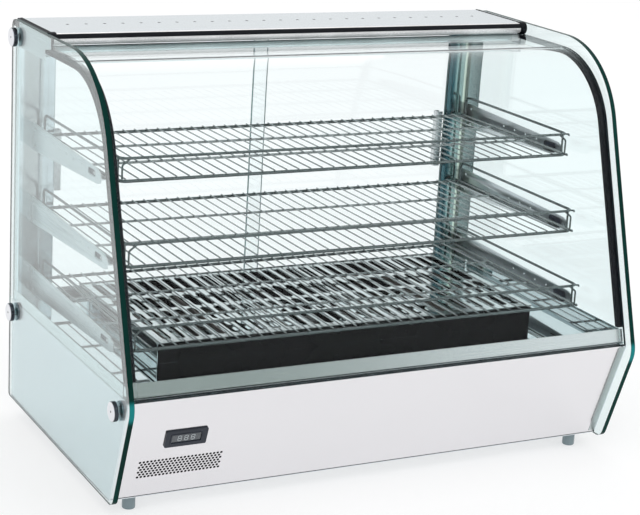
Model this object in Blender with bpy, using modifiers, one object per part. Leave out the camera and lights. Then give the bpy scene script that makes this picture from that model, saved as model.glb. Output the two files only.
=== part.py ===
"""Curved-glass countertop display showcase (heated food display), built as separate pieces.

Metres, +Z up, front towards -Y, width along X, origin under the middle of the bounding box.
"""
import bpy
import bmesh
import math
from mathutils import Matrix, Vector, Euler

# ---------------------------------------------------------------- driving dimensions
GLASS_HALF_W = 0.4365        # outer face of each side glass
GLASS_T = 0.008              # side glass thickness
GLASS_IN = GLASS_HALF_W - GLASS_T
REAR_Y = 0.262               # rear edge of the side glasses
GLASS_BOTTOM = 0.030
GLASS_TOP = 0.660
KNEE = (-0.2755, 0.189)      # sharp corner of the side profile before rounding
BROW_Y = -0.1241             # where the slanted front line meets the top line
TOE_Y = -0.2155              # where the lower bevel meets the bottom line
TOE_Z = 0.0222               # the bottom line falls a little towards the front
BROW_R = 0.160
FRONT_GAP = 0.012            # front glass set back from the side glass edge
FRONT_T = 0.006
FRONT_DROP = 0.0064          # the top run of the front glass lies this much deeper, under the roof nose
SEAL_T = 0.0055
GAP = 0.0003                 # clearance between touching pieces
SHEET = 0.0015               # sheet steel thickness
FOOT_H = 0.0247
FOOT_R = 0.0100
DECK_Z = 0.2000              # top of the cabin floor
PLATE_TOP = 0.6600           # top of the roof plate, flush with the side glasses
PLATE_HALF_W = 0.4200
NOSE_Y = 0.1070              # front of the roof plate's rounded nose
NOSE_R = 0.0090
LAMP_Y, LAMP_Z = 0.1260, 0.6300   # axis of the lamp behind the nose
POST_IN = 0.3660             # inner edge of the rear posts
POST_OUT = 0.4264
POST_Y0, POST_Y1 = 0.2360, 0.2580
SHELF_HALF_W = 0.3920
SHELF_REAR_Y = 0.2240
SHELF_LEVELS = (("top", 0.4780, -0.0980), ("middle", 0.3580, -0.1330), ("bottom", 0.2400, -0.1660))
RAIL_H = 0.0340              # guard rail height above the shelf wires
WIRE_PITCH = 0.0200
DOOR_LEFT = (-0.3655, 0.0040)
DOOR_RIGHT = (-0.0180, 0.3655)
DOOR_T = 0.005
DOOR_Z = (0.2045, 0.6340)
CAP_POINTS = (("rear_top", 0.2440, 0.6330), ("rear_bottom", 0.2440, 0.1800), ("front_bottom", -0.2220, 0.1740))

# ---------------------------------------------------------------- scene set-up
for ob in list(bpy.data.objects):
    bpy.data.objects.remove(ob, do_unlink=True)
PART = bpy.data.collections.new("glass_display_showcase")
CUTTERS = bpy.data.collections.new("cutters")
bpy.context.scene.collection.children.link(PART)
bpy.context.scene.collection.children.link(CUTTERS)


def material(name, rgb, rough, metal=0.0, alpha=1.0, transmission=0.0):
    m = bpy.data.materials.new(name)
    m.use_nodes = True
    b = m.node_tree.nodes["Principled BSDF"]
    b.inputs["Base Color"].default_value = (*rgb, 1.0)
    b.inputs["Roughness"].default_value = rough
    b.inputs["Metallic"].default_value = metal
    b.inputs["Alpha"].default_value = alpha
    b.inputs["Transmission Weight"].default_value = transmission
    m.diffuse_color = (*rgb, alpha)
    return m


M = {
    "glass": material("clear_glass", (0.80, 0.93, 0.93), 0.03, 0.0, 0.35, 0.9),
    "steel": material("brushed_steel", (0.72, 0.71, 0.72), 0.30, 1.0),
    "mirror": material("polished_steel", (0.80, 0.81, 0.80), 0.08, 1.0),
    "wire": material("chromed_wire", (0.55, 0.57, 0.57), 0.15, 1.0),
    "chrome": material("chrome", (0.85, 0.86, 0.87), 0.06, 1.0),
    "rubber": material("black_rubber", (0.02, 0.022, 0.026), 0.65),
    "black": material("matte_black_paint", (0.012, 0.012, 0.014), 0.55),
    "plastic": material("dark_plastic", (0.02, 0.025, 0.035), 0.35),
    "lens": material("display_lens", (0.05, 0.06, 0.07), 0.10),
    "grey": material("grey_foot", (0.30, 0.34, 0.38), 0.50),
    "alu": material("aluminium", (0.62, 0.63, 0.64), 0.35, 1.0),
    "lamp": material("lamp_white", (0.92, 0.96, 0.97), 0.30),
    "cover": material("lamp_cover", (0.80, 0.92, 0.93), 0.20, 0.0, 0.5, 0.6),
    "element": material("heater_sheath", (0.16, 0.14, 0.13), 0.45, 0.9),
}


# ---------------------------------------------------------------- helpers
def keep(ob, mat, name=None):
    if name:
        ob.name = name
        ob.data.name = name
    ob.data.materials.clear()
    ob.data.materials.append(M[mat])
    for c in list(ob.users_collection):
        c.objects.unlink(ob)
    PART.objects.link(ob)
    return ob


def as_cutter(ob):
    for c in list(ob.users_collection):
        c.objects.unlink(ob)
    CUTTERS.objects.link(ob)
    ob.hide_render = True
    ob.display_type = "WIRE"
    return ob


def to_mesh(ob, name):
    """Evaluated copy of an object as one welded mesh object; the source is removed."""
    bpy.context.view_layer.update()
    deps = bpy.context.evaluated_depsgraph_get()
    me = bpy.data.meshes.new_from_object(ob.evaluated_get(deps))
    mw = ob.matrix_world.copy()
    bpy.data.objects.remove(ob, do_unlink=True)
    bm = bmesh.new()
    bm.from_mesh(me)
    bm.transform(mw)
    bmesh.ops.remove_doubles(bm, verts=bm.verts, dist=1e-6)
    bmesh.ops.recalc_face_normals(bm, faces=bm.faces)
    bm.to_mesh(me)
    bm.free()
    new = bpy.data.objects.new(name, me)
    bpy.context.scene.collection.objects.link(new)
    return new


PLANES = {"XY": Euler((0, 0, 0)), "YZ": Euler((math.pi / 2, 0, math.pi / 2)), "XZ": Euler((math.pi / 2, 0, 0))}


def slab(name, outline, lo, hi, plane="YZ", holes=()):
    """Flat outline (with optional holes) given a thickness from lo to hi along the third axis."""
    cu = bpy.data.curves.new(name, "CURVE")
    cu.dimensions = "2D"
    cu.fill_mode = "BOTH"
    cu.extrude = (hi - lo) / 2
    for loop in (outline, *holes):
        sp = cu.splines.new("POLY")
        sp.points.add(len(loop) - 1)
        for p, (a, b) in zip(sp.points, loop):
            p.co = (a, b, 0, 1)
        sp.use_cyclic_u = True
    ob = bpy.data.objects.new(name, cu)
    ob.rotation_euler = PLANES[plane]
    mid = (hi + lo) / 2
    ob.location = {"XY": (0, 0, mid), "YZ": (mid, 0, 0), "XZ": (0, mid, 0)}[plane]
    bpy.context.scene.collection.objects.link(ob)
    return to_mesh(ob, name)


def fillet(corners, steps=6):
    """corners: (a, b, radius). Returns the outline with each corner rounded."""
    out = []
    n = len(corners)
    for i in range(n):
        p = Vector(corners[i][:2])
        r = corners[i][2]
        if r <= 0:
            out.append(tuple(p))
            continue
        u = (Vector(corners[i - 1][:2]) - p).normalized()
        v = (Vector(corners[(i + 1) % n][:2]) - p).normalized()
        half = u.angle(v) / 2
        t = r / math.tan(half)
        c = p + (u + v).normalized() * (r / math.sin(half))
        a0 = p + u * t - c
        turn = math.pi - 2 * half
        sign = 1 if a0.x * (p + v * t - c).y - a0.y * (p + v * t - c).x > 0 else -1
        k = corners[i][3] if len(corners[i]) > 3 else steps
        for j in range(k + 1):
            q = Matrix.Rotation(sign * turn * j / k, 2) @ a0 + c
            out.append((q.x, q.y))
    return out


def round_rect(cx, cy, w, h, r, steps=3):
    return fillet([(cx - w / 2, cy - h / 2, r), (cx + w / 2, cy - h / 2, r), (cx + w / 2, cy + h / 2, r), (cx - w / 2, cy + h / 2, r)], steps)


def circle(cx, cy, r, n, phase=0.0):
    return [(cx + r * math.cos(phase + 2 * math.pi * i / n), cy + r * math.sin(phase + 2 * math.pi * i / n)) for i in range(n)]


def ribbon(path, t):
    """Outline of a bent sheet: the path is one face, the other lies t to its left."""
    pts = [Vector(p) for p in path]
    other = []
    for i, p in enumerate(pts):
        d0 = (p - pts[i - 1]).normalized() if i else None
        d1 = (pts[i + 1] - p).normalized() if i < len(pts) - 1 else None
        if d0 is None:
            d0 = d1
        if d1 is None:
            d1 = d0
        n0 = Vector((-d0.y, d0.x))
        n1 = Vector((-d1.y, d1.x))
        m = (n0 + n1).normalized()
        other.append(tuple(p + m * (t / m.dot(n0))))
    return [tuple(p) for p in pts] + other[::-1]


def box(name, lo, hi, bevel=0.0, segments=1):
    bpy.ops.mesh.primitive_cube_add(size=1)
    ob = bpy.context.object
    ob.data.transform(Matrix.Diagonal((*[h - l for l, h in zip(lo, hi)], 1)))
    ob.location = [(h + l) / 2 for l, h in zip(lo, hi)]
    ob.name = name
    if bevel:
        m = ob.modifiers.new("bevel", "BEVEL")
        m.width = bevel
        m.segments = segments
    return ob


def rod(name, radius, length, centre, axis="Z", sides=12):
    bpy.ops.mesh.primitive_cylinder_add(radius=radius, depth=length, vertices=sides)
    ob = bpy.context.object
    rot = {"Z": Matrix.Identity(4), "X": Matrix.Rotation(math.pi / 2, 4, "Y"), "Y": Matrix.Rotation(-math.pi / 2, 4, "X")}[axis]
    ob.data.transform(rot)
    ob.location = centre
    ob.name = name
    return ob


def turned(name, profile, steps, axis, centre):
    """Turned shape: profile of (radius, height) pairs, top to bottom, spun about its own axis."""
    me = bpy.data.meshes.new(name)
    me.from_pydata([(r, 0, h) for r, h in profile], [(i, i + 1) for i in range(len(profile) - 1)], [])
    ob = bpy.data.objects.new(name, me)
    bpy.context.scene.collection.objects.link(ob)
    s = ob.modifiers.new("screw", "SCREW")
    s.steps = s.render_steps = steps
    s.use_merge_vertices = True
    s.merge_threshold = 0.00001
    ob = to_mesh(ob, name)
    rot = {"Z": Matrix.Identity(4), "X": Matrix.Rotation(math.pi / 2, 4, "Y"), "-X": Matrix.Rotation(-math.pi / 2, 4, "Y"),
           "Y": Matrix.Rotation(-math.pi / 2, 4, "X")}[axis]
    ob.data.transform(rot)
    ob.location = centre
    return ob


def bend(points, radius, steps=4):
    """Polyline in space with its inner corners rounded."""
    pts = [Vector(p) for p in points]
    out = [pts[0]]
    for i in range(1, len(pts) - 1):
        p = pts[i]
        u = (pts[i - 1] - p).normalized()
        v = (pts[i + 1] - p).normalized()
        half = u.angle(v) / 2
        t = radius / math.tan(half)
        c = p + (u + v).normalized() * (radius / math.sin(half))
        a, b = p + u * t - c, p + v * t - c
        ang = a.angle(b)
        for j in range(steps + 1):
            f = j / steps
            out.append(c + (a * math.sin((1 - f) * ang) + b * math.sin(f * ang)) / math.sin(ang))
    out.append(pts[-1])
    return out


def tube(name, points, radius, resolution=2):
    cu = bpy.data.curves.new(name, "CURVE")
    cu.dimensions = "3D"
    cu.bevel_depth = radius
    cu.bevel_resolution = resolution
    cu.use_fill_caps = True
    sp = cu.splines.new("POLY")
    sp.points.add(len(points) - 1)
    for p, q in zip(sp.points, points):
        p.co = (*q, 1)
    ob = bpy.data.objects.new(name, cu)
    bpy.context.scene.collection.objects.link(ob)
    return to_mesh(ob, name)


def boolean(ob, other, op="DIFFERENCE"):
    as_cutter(other)
    m = ob.modifiers.new(op.lower(), "BOOLEAN")
    m.object = other
    m.operation = op
    m.solver = "EXACT"
    return ob


def prisms(name, centres, radius, length, axis, sides=6, tilt=0.0):
    """Many short parallel prisms in one cutter object."""
    bm = bmesh.new()
    rot = {"Z": Matrix.Identity(4), "Y": Matrix.Rotation(-math.pi / 2, 4, "X")}[axis]
    for c in centres:
        bmesh.ops.create_cone(bm, cap_ends=True, segments=sides, radius1=radius, radius2=radius, depth=length,
                              matrix=Matrix.Translation(c) @ Matrix.Rotation(tilt, 4, "X") @ rot)
    me = bpy.data.meshes.new(name)
    bm.to_mesh(me)
    bm.free()
    ob = bpy.data.objects.new(name, me)
    bpy.context.scene.collection.objects.link(ob)
    return ob


def boxes(name, spans):
    """Many boxes in one cutter object; spans are (lo, hi) corner pairs."""
    bm = bmesh.new()
    for lo, hi in spans:
        size = [h - l for l, h in zip(lo, hi)]
        mid = [(h + l) / 2 for l, h in zip(lo, hi)]
        bmesh.ops.create_cube(bm, size=1, matrix=Matrix.Translation(mid) @ Matrix.Diagonal((*size, 1)))
    me = bpy.data.meshes.new(name)
    bm.to_mesh(me)
    bm.free()
    ob = bpy.data.objects.new(name, me)
    bpy.context.scene.collection.objects.link(ob)
    return ob


def origin_to(ob, point):
    ob.data.transform(Matrix.Translation(ob.location - Vector(point)))
    ob.location = point
    return ob


def smooth(ob, angle=0.6):
    ob.data.shade_smooth()
    ob.data.set_sharp_from_angle(angle=angle)
    return ob


# ---------------------------------------------------------------- the side profile
S_UP = (BROW_Y - KNEE[0]) / (GLASS_TOP - KNEE[1])       # dy/dz of the slanted front


def front_line(z, inset=0.0):
    """y of the slanted front at height z, moved inwards by inset."""
    return KNEE[0] + S_UP * (z - KNEE[1]) + inset * math.sqrt(1 + S_UP * S_UP)


side_outline = fillet([(REAR_Y, GLASS_BOTTOM, 0.006, 2), (TOE_Y, TOE_Z, 0.018, 3), (KNEE[0], KNEE[1], 0.040, 4),
                       (BROW_Y, GLASS_TOP, BROW_R, 12), (REAR_Y, GLASS_TOP, 0.012, 3)])
for side, sx in (("left", -1), ("right", 1)):
    lo, hi = sorted((sx * GLASS_IN, sx * GLASS_HALF_W))
    holes = [circle(y, z, 0.006, 10) for _, y, z in CAP_POINTS]
    keep(slab("side_glass_" + side, side_outline, lo, hi, "YZ", holes), "glass")
    for tag, y, z in CAP_POINTS:
        cap = turned("glass_cap_%s_%s" % (tag, side),
                     [(0, 0.0085), (0.0030, 0.0085), (0.0036, 0.0070), (0.0040, 0.0085), (0.0134, 0.0083), (0.0150, 0.0066), (0.0150, GAP),
                      (0.0045, GAP), (0.0045, -GLASS_T), (0, -GLASS_T)],
                     12, "X" if sx > 0 else "-X", (sx * GLASS_HALF_W, y, z))
        keep(smooth(cap), "chrome")


def offset_path(inset, y_rear, z_low, steps=12):
    """Path parallel to the side profile: from the rear of the top line down the front."""
    z = GLASS_TOP - inset - FRONT_DROP
    pts = fillet([(y_rear, z, 0), (front_line(z, inset), z, BROW_R - inset, steps), (front_line(z_low, inset), z_low, 0)])
    return pts


def band(inset, t, y_rear, z_low, steps=12):
    return offset_path(inset, y_rear, z_low, steps) + offset_path(inset + t, y_rear, z_low, steps)[::-1]


keep(smooth(slab("front_glass", band(FRONT_GAP, FRONT_T, 0.1130, 0.1976), -0.4276, 0.4276)), "glass")
for side, sx in (("left", -1), ("right", 1)):
    lo, hi = sorted((sx * 0.4165, sx * (GLASS_IN - GAP)))
    keep(smooth(slab("front_seal_" + side, band(FRONT_GAP + FRONT_T + GAP, SEAL_T, 0.1130, 0.2240), lo, hi)), "rubber")

# ---------------------------------------------------------------- base housing
F_TOP, F_BOT = (-0.2605, 0.1970), (-0.1990, 0.0270)      # outer face of the front panel
S_F = (F_BOT[0] - F_TOP[0]) / (F_TOP[1] - F_BOT[1])
chassis_outline = [(0.2520, 0.0250), (0.2520, 0.1982), (-0.2440, 0.1982), (-0.2440, 0.1968), F_TOP[:1] + (0.1968,), (F_BOT[0] + 0.0006, 0.0250)]
chassis = slab("base_chassis", chassis_outline, -0.4282, 0.4282)
inner = slab("chassis_inside", [(0.30, 0.0265), (0.30, 0.25), (-0.30, 0.25), (-0.30, 0.0265)], -0.4267, 0.4267)
boolean(chassis, inner)
keep(chassis, "steel")

fascia_path = [(-0.1790, 0.0270), (F_BOT[0], 0.0270), (F_TOP[0], 0.1970), (-0.2440, 0.1970)]
fascia = slab("front_fascia", ribbon(fascia_path[::-1], SHEET), -0.4264, 0.4264)
display_z, display_x, display_w, display_h = 0.1265, -0.3315, 0.0620, 0.0265
tilt = math.atan(S_F)


def fascia_y(z):
    return F_TOP[0] + S_F * (F_TOP[1] - z)


window = box("display_window", (display_x - 0.0290, -0.30, display_z - 0.0112), (display_x + 0.0290, -0.18, display_z + 0.0112))
boolean(fascia, window)
vent = []
for r in range(4):
    z = 0.0640 + r * 0.0078
    for c in range(12):
        vent.append((-0.3950 + c * 0.0114 + (0.0057 if r % 2 else 0), fascia_y(z), z))
boolean(fascia, prisms("fascia_vent", vent, 0.0026, 0.02, "Y", 6))
keep(fascia, "steel")


def on_fascia(ob, x, z, out=0.0):
    """Lays a piece, modelled flat in X and Z at the origin with its face towards -Y, on the slanted front panel."""
    ob.data.transform(Matrix.Rotation(tilt, 4, "X"))
    n = Vector((0, -math.cos(tilt), -math.sin(tilt)))
    ob.location = Vector((x, fascia_y(z), z)) + n * out
    return ob


bez = slab("display_bezel", round_rect(0, 0, display_w + 0.004, display_h + 0.003, 0.002), -0.0024, 0.0, "XZ", [round_rect(0, 0, 0.0470, 0.0150, 0.001, 2)])
keep(on_fascia(bez, display_x, display_z, GAP), "plastic")
mod = slab("display_module", round_rect(0, 0, 0.0540, 0.0195, 0.001, 2), GAP, 0.0240, "XZ")
lens = slab("lens_face", round_rect(0, 0, 0.0464, 0.0144, 0.001, 2), -0.0015, 0.002, "XZ")
boolean(mod, lens, "UNION")
mod = to_mesh(mod, "display_module")
CUTTERS.objects.unlink(lens)
bpy.data.objects.remove(lens, do_unlink=True)
keep(on_fascia(mod, display_x, display_z, GAP), "lens")

deck = slab("cabin_floor", [(-0.4282, -0.2522), (0.4282, -0.2522), (0.4282, 0.2538), (-0.4282, 0.2538)], DECK_Z - SHEET, DECK_Z, "XY",
            [circle(0, 0.030, 0.052, 20)])
keep(deck, "mirror")
sill_path = [(-0.2360, DECK_Z + GAP), (front_line(DECK_Z, 0.0190) , DECK_Z + GAP), (front_line(0.2215, 0.0190), 0.2215)]
keep(slab("front_sill", ribbon(sill_path, -SHEET), -0.4160, 0.4160), "steel")

rear = slab("rear_panel", [(-0.4280, 0.0253), (0.4280, 0.0253), (0.4280, 0.1980), (-0.4280, 0.1980)], 0.2523, 0.2538, "XZ",
            [circle(0.185, 0.115, 0.006, 12), round_rect(0.255, 0.115, 0.0190, 0.0300, 0.001, 1), round_rect(0.305, 0.115, 0.0190, 0.0300, 0.001, 1),
             [(-0.3145, 0.0645), (-0.2855, 0.0645), (-0.2855, 0.0875), (-0.3145, 0.0875)]]
            + [round_rect(-0.080, 0.060 + 0.016 * i, 0.240, 0.006, 0.0029, 2) for i in range(7)])
keep(rear, "steel")

for tag, fx, fy in (("front_left", -0.394, -0.176), ("front_right", 0.394, -0.176), ("rear_left", -0.394, 0.215), ("rear_right", 0.394, 0.215)):
    foot = turned("foot_" + tag, [(0, FOOT_H), (FOOT_R, FOOT_H), (FOOT_R, 0.0025), (FOOT_R - 0.0010, 0.0), (0, 0.0)], 16, "Z", (fx, fy, 0))
    keep(smooth(foot), "grey")

# ---------------------------------------------------------------- heater and fan under the shelves
hb = slab("heater_box", [(-0.332, -0.120), (0.332, -0.120), (0.332, 0.200), (-0.332, 0.200)], DECK_Z + GAP, 0.2312, "XY",
          [[(-0.3305, -0.1185), (0.3305, -0.1185), (0.3305, 0.1985), (-0.3305, 0.1985)]])
keep(hb, "black")
slots = []
for row, (y0, y1) in enumerate(((-0.106, -0.028), (-0.016, 0.084), (0.096, 0.186))):
    for i in range(16):
        x = -0.315 + i * 0.042
        slots.append([(x - 0.014, y0), (x + 0.014, y0), (x + 0.014, y1), (x - 0.014, y1)])
keep(slab("heater_cover", [(-0.334, -0.122), (0.334, -0.122), (0.334, 0.202), (-0.334, 0.202)], 0.2315, 0.2330, "XY", slots), "mirror")
el = bend([(-0.300, 0.185, 0.217), (-0.300, -0.100, 0.217), (-0.200, -0.100, 0.217), (-0.200, 0.150, 0.217), (-0.090, 0.150, 0.217), (-0.090, -0.100, 0.217),
           (0.090, -0.100, 0.217), (0.090, 0.150, 0.217), (0.200, 0.150, 0.217), (0.200, -0.100, 0.217), (0.300, -0.100, 0.217), (0.300, 0.185, 0.217)], 0.030, 4)
keep(smooth(tube("heating_element", el, 0.004, 1)), "element")

fc = (0.0, 0.030)
frame_plate = slab("fan_frame", round_rect(fc[0], fc[1], 0.116, 0.116, 0.008, 2), 0.1600, 0.1982, "XY", [circle(fc[0], fc[1], 0.0515, 20)])
struts = boxes("fan_struts", [((-0.054, 0.0285, 0.1602), (0.054, 0.0315, 0.1640)), ((-0.0015, -0.024, 0.1602), (0.0015, 0.084, 0.1640))])
boolean(frame_plate, struts, "UNION")
hub_seat = rod("fan_motor_seat", 0.018, 0.0048, (fc[0], fc[1], 0.1625), "Z", 14)
boolean(frame_plate, hub_seat, "UNION")
keep(frame_plate, "black")
rotor = rod("fan_rotor", 0.0190, 0.0270, (fc[0], fc[1], 0.1793), "Z", 14)
blades = bpy.data.meshes.new("fan_blades")
bm = bmesh.new()
for i in range(7):
    a = 2 * math.pi * i / 7
    mtx = Matrix.Rotation(a, 4, "Z") @ Matrix.Translation((0.0330, 0, 0)) @ Matrix.Rotation(math.radians(38), 4, "X") @ Matrix.Diagonal((0.0320, 0.0240, 0.0014, 1))
    bmesh.ops.create_cube(bm, size=1, matrix=mtx)
bm.to_mesh(blades)
bm.free()
blade_ob = bpy.data.objects.new("fan_blades", blades)
blade_ob.location = (fc[0], fc[1], 0.1793)
bpy.context.scene.collection.objects.link(blade_ob)
boolean(rotor, blade_ob, "UNION")
keep(rotor, "black")

# ---------------------------------------------------------------- rear posts, tracks, doors
for side, sx in (("left", -1), ("right", 1)):
    path = [(POST_IN, POST_Y1), (POST_IN, POST_Y0), (POST_OUT, POST_Y0), (POST_OUT, POST_Y1)]
    outline = ribbon(path, SHEET)
    outline = [(sx * a, b) for a, b in outline]
    keep(slab("rear_post_" + side, outline, DECK_Z + GAP, 0.6478, "XY"), "steel")


def track(name, z_web, z_lip):
    ys = (0.2385, 0.2400, 0.2478, 0.2492, 0.2565, 0.2579)
    w = SHEET if z_lip > z_web else -SHEET
    pts = [(ys[0], z_web), (ys[0], z_lip), (ys[1], z_lip), (ys[1], z_web + w), (ys[2], z_web + w), (ys[2], z_lip), (ys[3], z_lip), (ys[3], z_web + w),
           (ys[4], z_web + w), (ys[4], z_lip), (ys[5], z_lip), (ys[5], z_web)]
    return slab(name, pts, -POST_IN + 0.0003, POST_IN - 0.0003)


keep(track("door_track_bottom", DECK_Z + GAP, 0.2120), "alu")
keep(track("door_track_top", 0.6400, 0.6285), "alu")
for side, (x0, x1), y0 in (("left", DOOR_LEFT, 0.2414), ("right", DOOR_RIGHT, 0.2504)):
    d = box("door_" + side, (x0, y0, DOOR_Z[0]), (x1, y0 + DOOR_T, DOOR_Z[1]))
    keep(d, "glass")
    hx = (x0 + 0.0030, x0 + 0.0150) if side == "left" else (x1 - 0.0150, x1 - 0.0030)
    y = y0 + DOOR_T + GAP
    depth = 0.0160 if side == "left" else 0.0140
    back, lip = (hx[1], hx[0]) if side == "left" else (hx[0], hx[1])
    wall = back + (-0.004 if side == "left" else 0.004)
    h = slab("door_handle_" + side, [(lip, y), (back, y), (back, y + depth), (lip, y + depth), (lip, y + depth - 0.003), (wall, y + depth - 0.003),
                                     (wall, y + 0.003), (lip, y + 0.003)], 0.380, 0.480, "XY")
    keep(origin_to(h, ((hx[0] + hx[1]) / 2, y, 0.430)), "alu")

# ---------------------------------------------------------------- roof
nose_c = (NOSE_Y + NOSE_R, PLATE_TOP - NOSE_R)
nose = [(nose_c[0] + NOSE_R * math.cos(a), nose_c[1] + NOSE_R * math.sin(a)) for a in [math.pi / 2 + math.pi * i / 8 for i in range(9)]]
plate_path = [(REAR_Y, 0.6408), (REAR_Y, PLATE_TOP)] + nose + [(NOSE_Y + 0.0300, nose_c[1] - NOSE_R)]
roof = slab("roof_plate", ribbon(plate_path, SHEET), -PLATE_HALF_W, PLATE_HALF_W)
pin_holes = [(-0.3700 + i * 0.7400 / 24, 0.1930, PLATE_TOP) for i in range(25)]
boolean(roof, prisms("roof_holes", pin_holes, 0.0016, 0.01, "Z", 6))
keep(roof, "steel")
for side, sx in (("left", -1), ("right", 1)):
    lo, hi = sorted((sx * (PLATE_HALF_W + GAP), sx * (GLASS_IN - GAP)))
    prof = [(REAR_Y, 0.6485), (REAR_Y, PLATE_TOP + 0.0006)] + [(a - 0.0006, b + 0.0006 if b > nose_c[1] else b) for a, b in nose] + [(0.1180, nose_c[1] - NOSE_R), (0.1180, 0.6485)]
    keep(slab("roof_seal_" + side, prof, lo, hi), "rubber")
    lo, hi = sorted((sx * 0.4249, sx * 0.4264))
    keep(slab("roof_bracket_" + side, [(0.1185, 0.6180), (0.2355, 0.6180), (0.2355, 0.6480), (0.1185, 0.6480)], lo, hi), "steel")

cov = tube("lamp_cover", [(-0.4070, LAMP_Y, LAMP_Z), (0.4070, LAMP_Y, LAMP_Z)], 0.0075, 3)
bore = tube("lamp_bore", [(-0.4200, LAMP_Y, LAMP_Z), (0.4200, LAMP_Y, LAMP_Z)], 0.0063, 3)
boolean(cov, bore)
keep(smooth(cov), "cover")
lamp = turned("lamp_tube", [(0, 0.4246), (0.0075, 0.4246), (0.0075, 0.4073), (0.0040, 0.4073), (0.0040, -0.4073), (0.0075, -0.4073), (0.0075, -0.4246), (0, -0.4246)], 12,
              "X", (0, LAMP_Y, LAMP_Z))
keep(smooth(lamp), "lamp")

# ---------------------------------------------------------------- shelves and their brackets
for tag, z, y_front in SHELF_LEVELS:
    arm_front = y_front + 0.031
    wire_t = 0.0030
    n = 38
    x_in = SHELF_HALF_W - 0.006
    step = 2 * x_in / n
    holes = []
    for i in range(n):
        a = -x_in + i * step + 0.0011
        b = -x_in + (i + 1) * step - 0.0011
        holes.append([(a, y_front + 0.006), (b, y_front + 0.006), (b, SHELF_REAR_Y - 0.006), (a, SHELF_REAR_Y - 0.006)])
    keep(slab("shelf_deck_" + tag, [(-SHELF_HALF_W, y_front), (SHELF_HALF_W, y_front), (SHELF_HALF_W, SHELF_REAR_Y), (-SHELF_HALF_W, SHELF_REAR_Y)],
              z - wire_t, z + wire_t - 0.0005, "XY", holes), "wire")
    zr = z + RAIL_H
    zd = z + wire_t - 0.0005 + GAP
    rx = SHELF_HALF_W - 0.0030
    path = bend([(-rx, SHELF_REAR_Y - 0.004, zd), (-rx, SHELF_REAR_Y - 0.004, zr), (-rx, y_front + 0.0030, zr), (rx, y_front + 0.0030, zr), (rx, SHELF_REAR_Y - 0.004, zr),
                 (rx, SHELF_REAR_Y - 0.004, zd)], 0.012, 3)
    rail = tube("shelf_rail_" + tag, path, 0.0025, 2)
    stays = boxes("rail_stays_" + tag, [((-rx - 0.0012, y_front + 0.012, zd), (-rx + 0.0012, y_front + 0.0144, zr)), ((rx - 0.0012, y_front + 0.012, zd), (rx + 0.0012, y_front + 0.0144, zr))])
    boolean(rail, stays, "UNION")
    keep(rail, "wire")
    for side, sx in (("left", -1), ("right", 1)):
        zt = z - 0.0035
        web = [(0.2355, zt - 0.0220), (0.2355, z + 0.0160), (arm_front + 0.012, z + 0.0160), (arm_front, z + 0.0110), (arm_front, zt - 0.0050)]
        lo, hi = sorted((sx * 0.4020, sx * 0.4035))
        win = round_rect(arm_front + 0.050, z + 0.004, 0.036, 0.010, 0.004, 2)
        arm = slab("shelf_bracket_%s_%s" % (tag, side), web, lo, hi, "YZ", [win])
        lo, hi = sorted((sx * 0.3840, sx * 0.4025))
        lip = slab("lip", [(0.2355, zt - 0.0015), (0.2355, zt), (arm_front + 0.004, zt), (arm_front + 0.004, zt - 0.0015)], lo, hi)
        boolean(arm, lip, "UNION")
        keep(arm, "steel")

# ---------------------------------------------------------------- rear controls and supply
ctl = slab("control_plate", round_rect(0.240, 0.115, 0.236, 0.104, 0.006), 0.2541, 0.2561, "XZ",
           [circle(0.185, 0.115, 0.0042, 12), round_rect(0.255, 0.115, 0.0180, 0.0290, 0.001, 1), round_rect(0.305, 0.115, 0.0180, 0.0290, 0.001, 1)])
keep(ctl, "steel")
for tag, x in (("power", 0.255), ("light", 0.305)):
    r = slab("%s_switch" % tag, fillet([(0.2500, 0.1030, 0), (0.2500, 0.1270, 0), (0.2590, 0.1275, 0.001, 2), (0.2572, 0.1150, 0), (0.2590, 0.1025, 0.001, 2)]), x - 0.0080, x + 0.0080)
    origin_to(r, (x, 0.2550, 0.1150))
    r.data.transform(Matrix.Rotation(math.radians(-7), 4, "X"))   # rests in its off position
    keep(r, "plastic")
knob = turned("thermostat_knob", [(0, 0.0160), (0.0110, 0.0160), (0.0130, 0.0145), (0.0145, 0.0035), (0.0180, 0.0020), (0.0180, 0.0003), (0.0030, 0.0003), (0.0030, -0.0120), (0, -0.0120)],
              16, "Y", (0.185, 0.2564, 0.115))
mark = box("knob_mark", (0.1838, 0.2700, 0.1180), (0.1862, 0.2732, 0.1262))
boolean(knob, mark, "UNION")
keep(knob, "plastic")
inlet = box("power_inlet", (-0.3140, 0.2360, 0.0650), (-0.2860, 0.2537, 0.0870))
flange = box("inlet_flange", (-0.3180, 0.2542, 0.0610), (-0.2820, 0.2562, 0.0910))
stem = box("inlet_stem", (-0.3140, 0.2500, 0.0650), (-0.2860, 0.2550, 0.0870))
boolean(inlet, flange, "UNION")
boolean(inlet, stem, "UNION")
mouth = slab("inlet_mouth", [(-0.3115, 0.0680), (-0.2885, 0.0680), (-0.2885, 0.0800), (-0.2925, 0.0845), (-0.3075, 0.0845), (-0.3115, 0.0800)], 0.2400, 0.2700, "XZ")
boolean(inlet, mouth)
pins = boxes("inlet_pins", [((-0.3010, 0.2390, 0.0785), (-0.2990, 0.2520, 0.0825)), ((-0.3080, 0.2390, 0.0715), (-0.3060, 0.2520, 0.0755)), ((-0.2940, 0.2390, 0.0715), (-0.2920, 0.2520, 0.0755))])
boolean(inlet, pins, "UNION")
keep(inlet, "plastic")
term = box("terminal_block", (-0.2400, 0.1500, 0.0275), (-0.1600, 0.1740, 0.0495))
wells = prisms("terminal_wells", [(-0.2320 + 0.016 * i, 0.162, 0.0500) for i in range(5)], 0.0040, 0.016, "Z", 8)
boolean(term, wells)
keep(term, "plastic")
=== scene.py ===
import math
import bpy
import bmesh
from mathutils import Matrix, Vector, Euler


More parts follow.
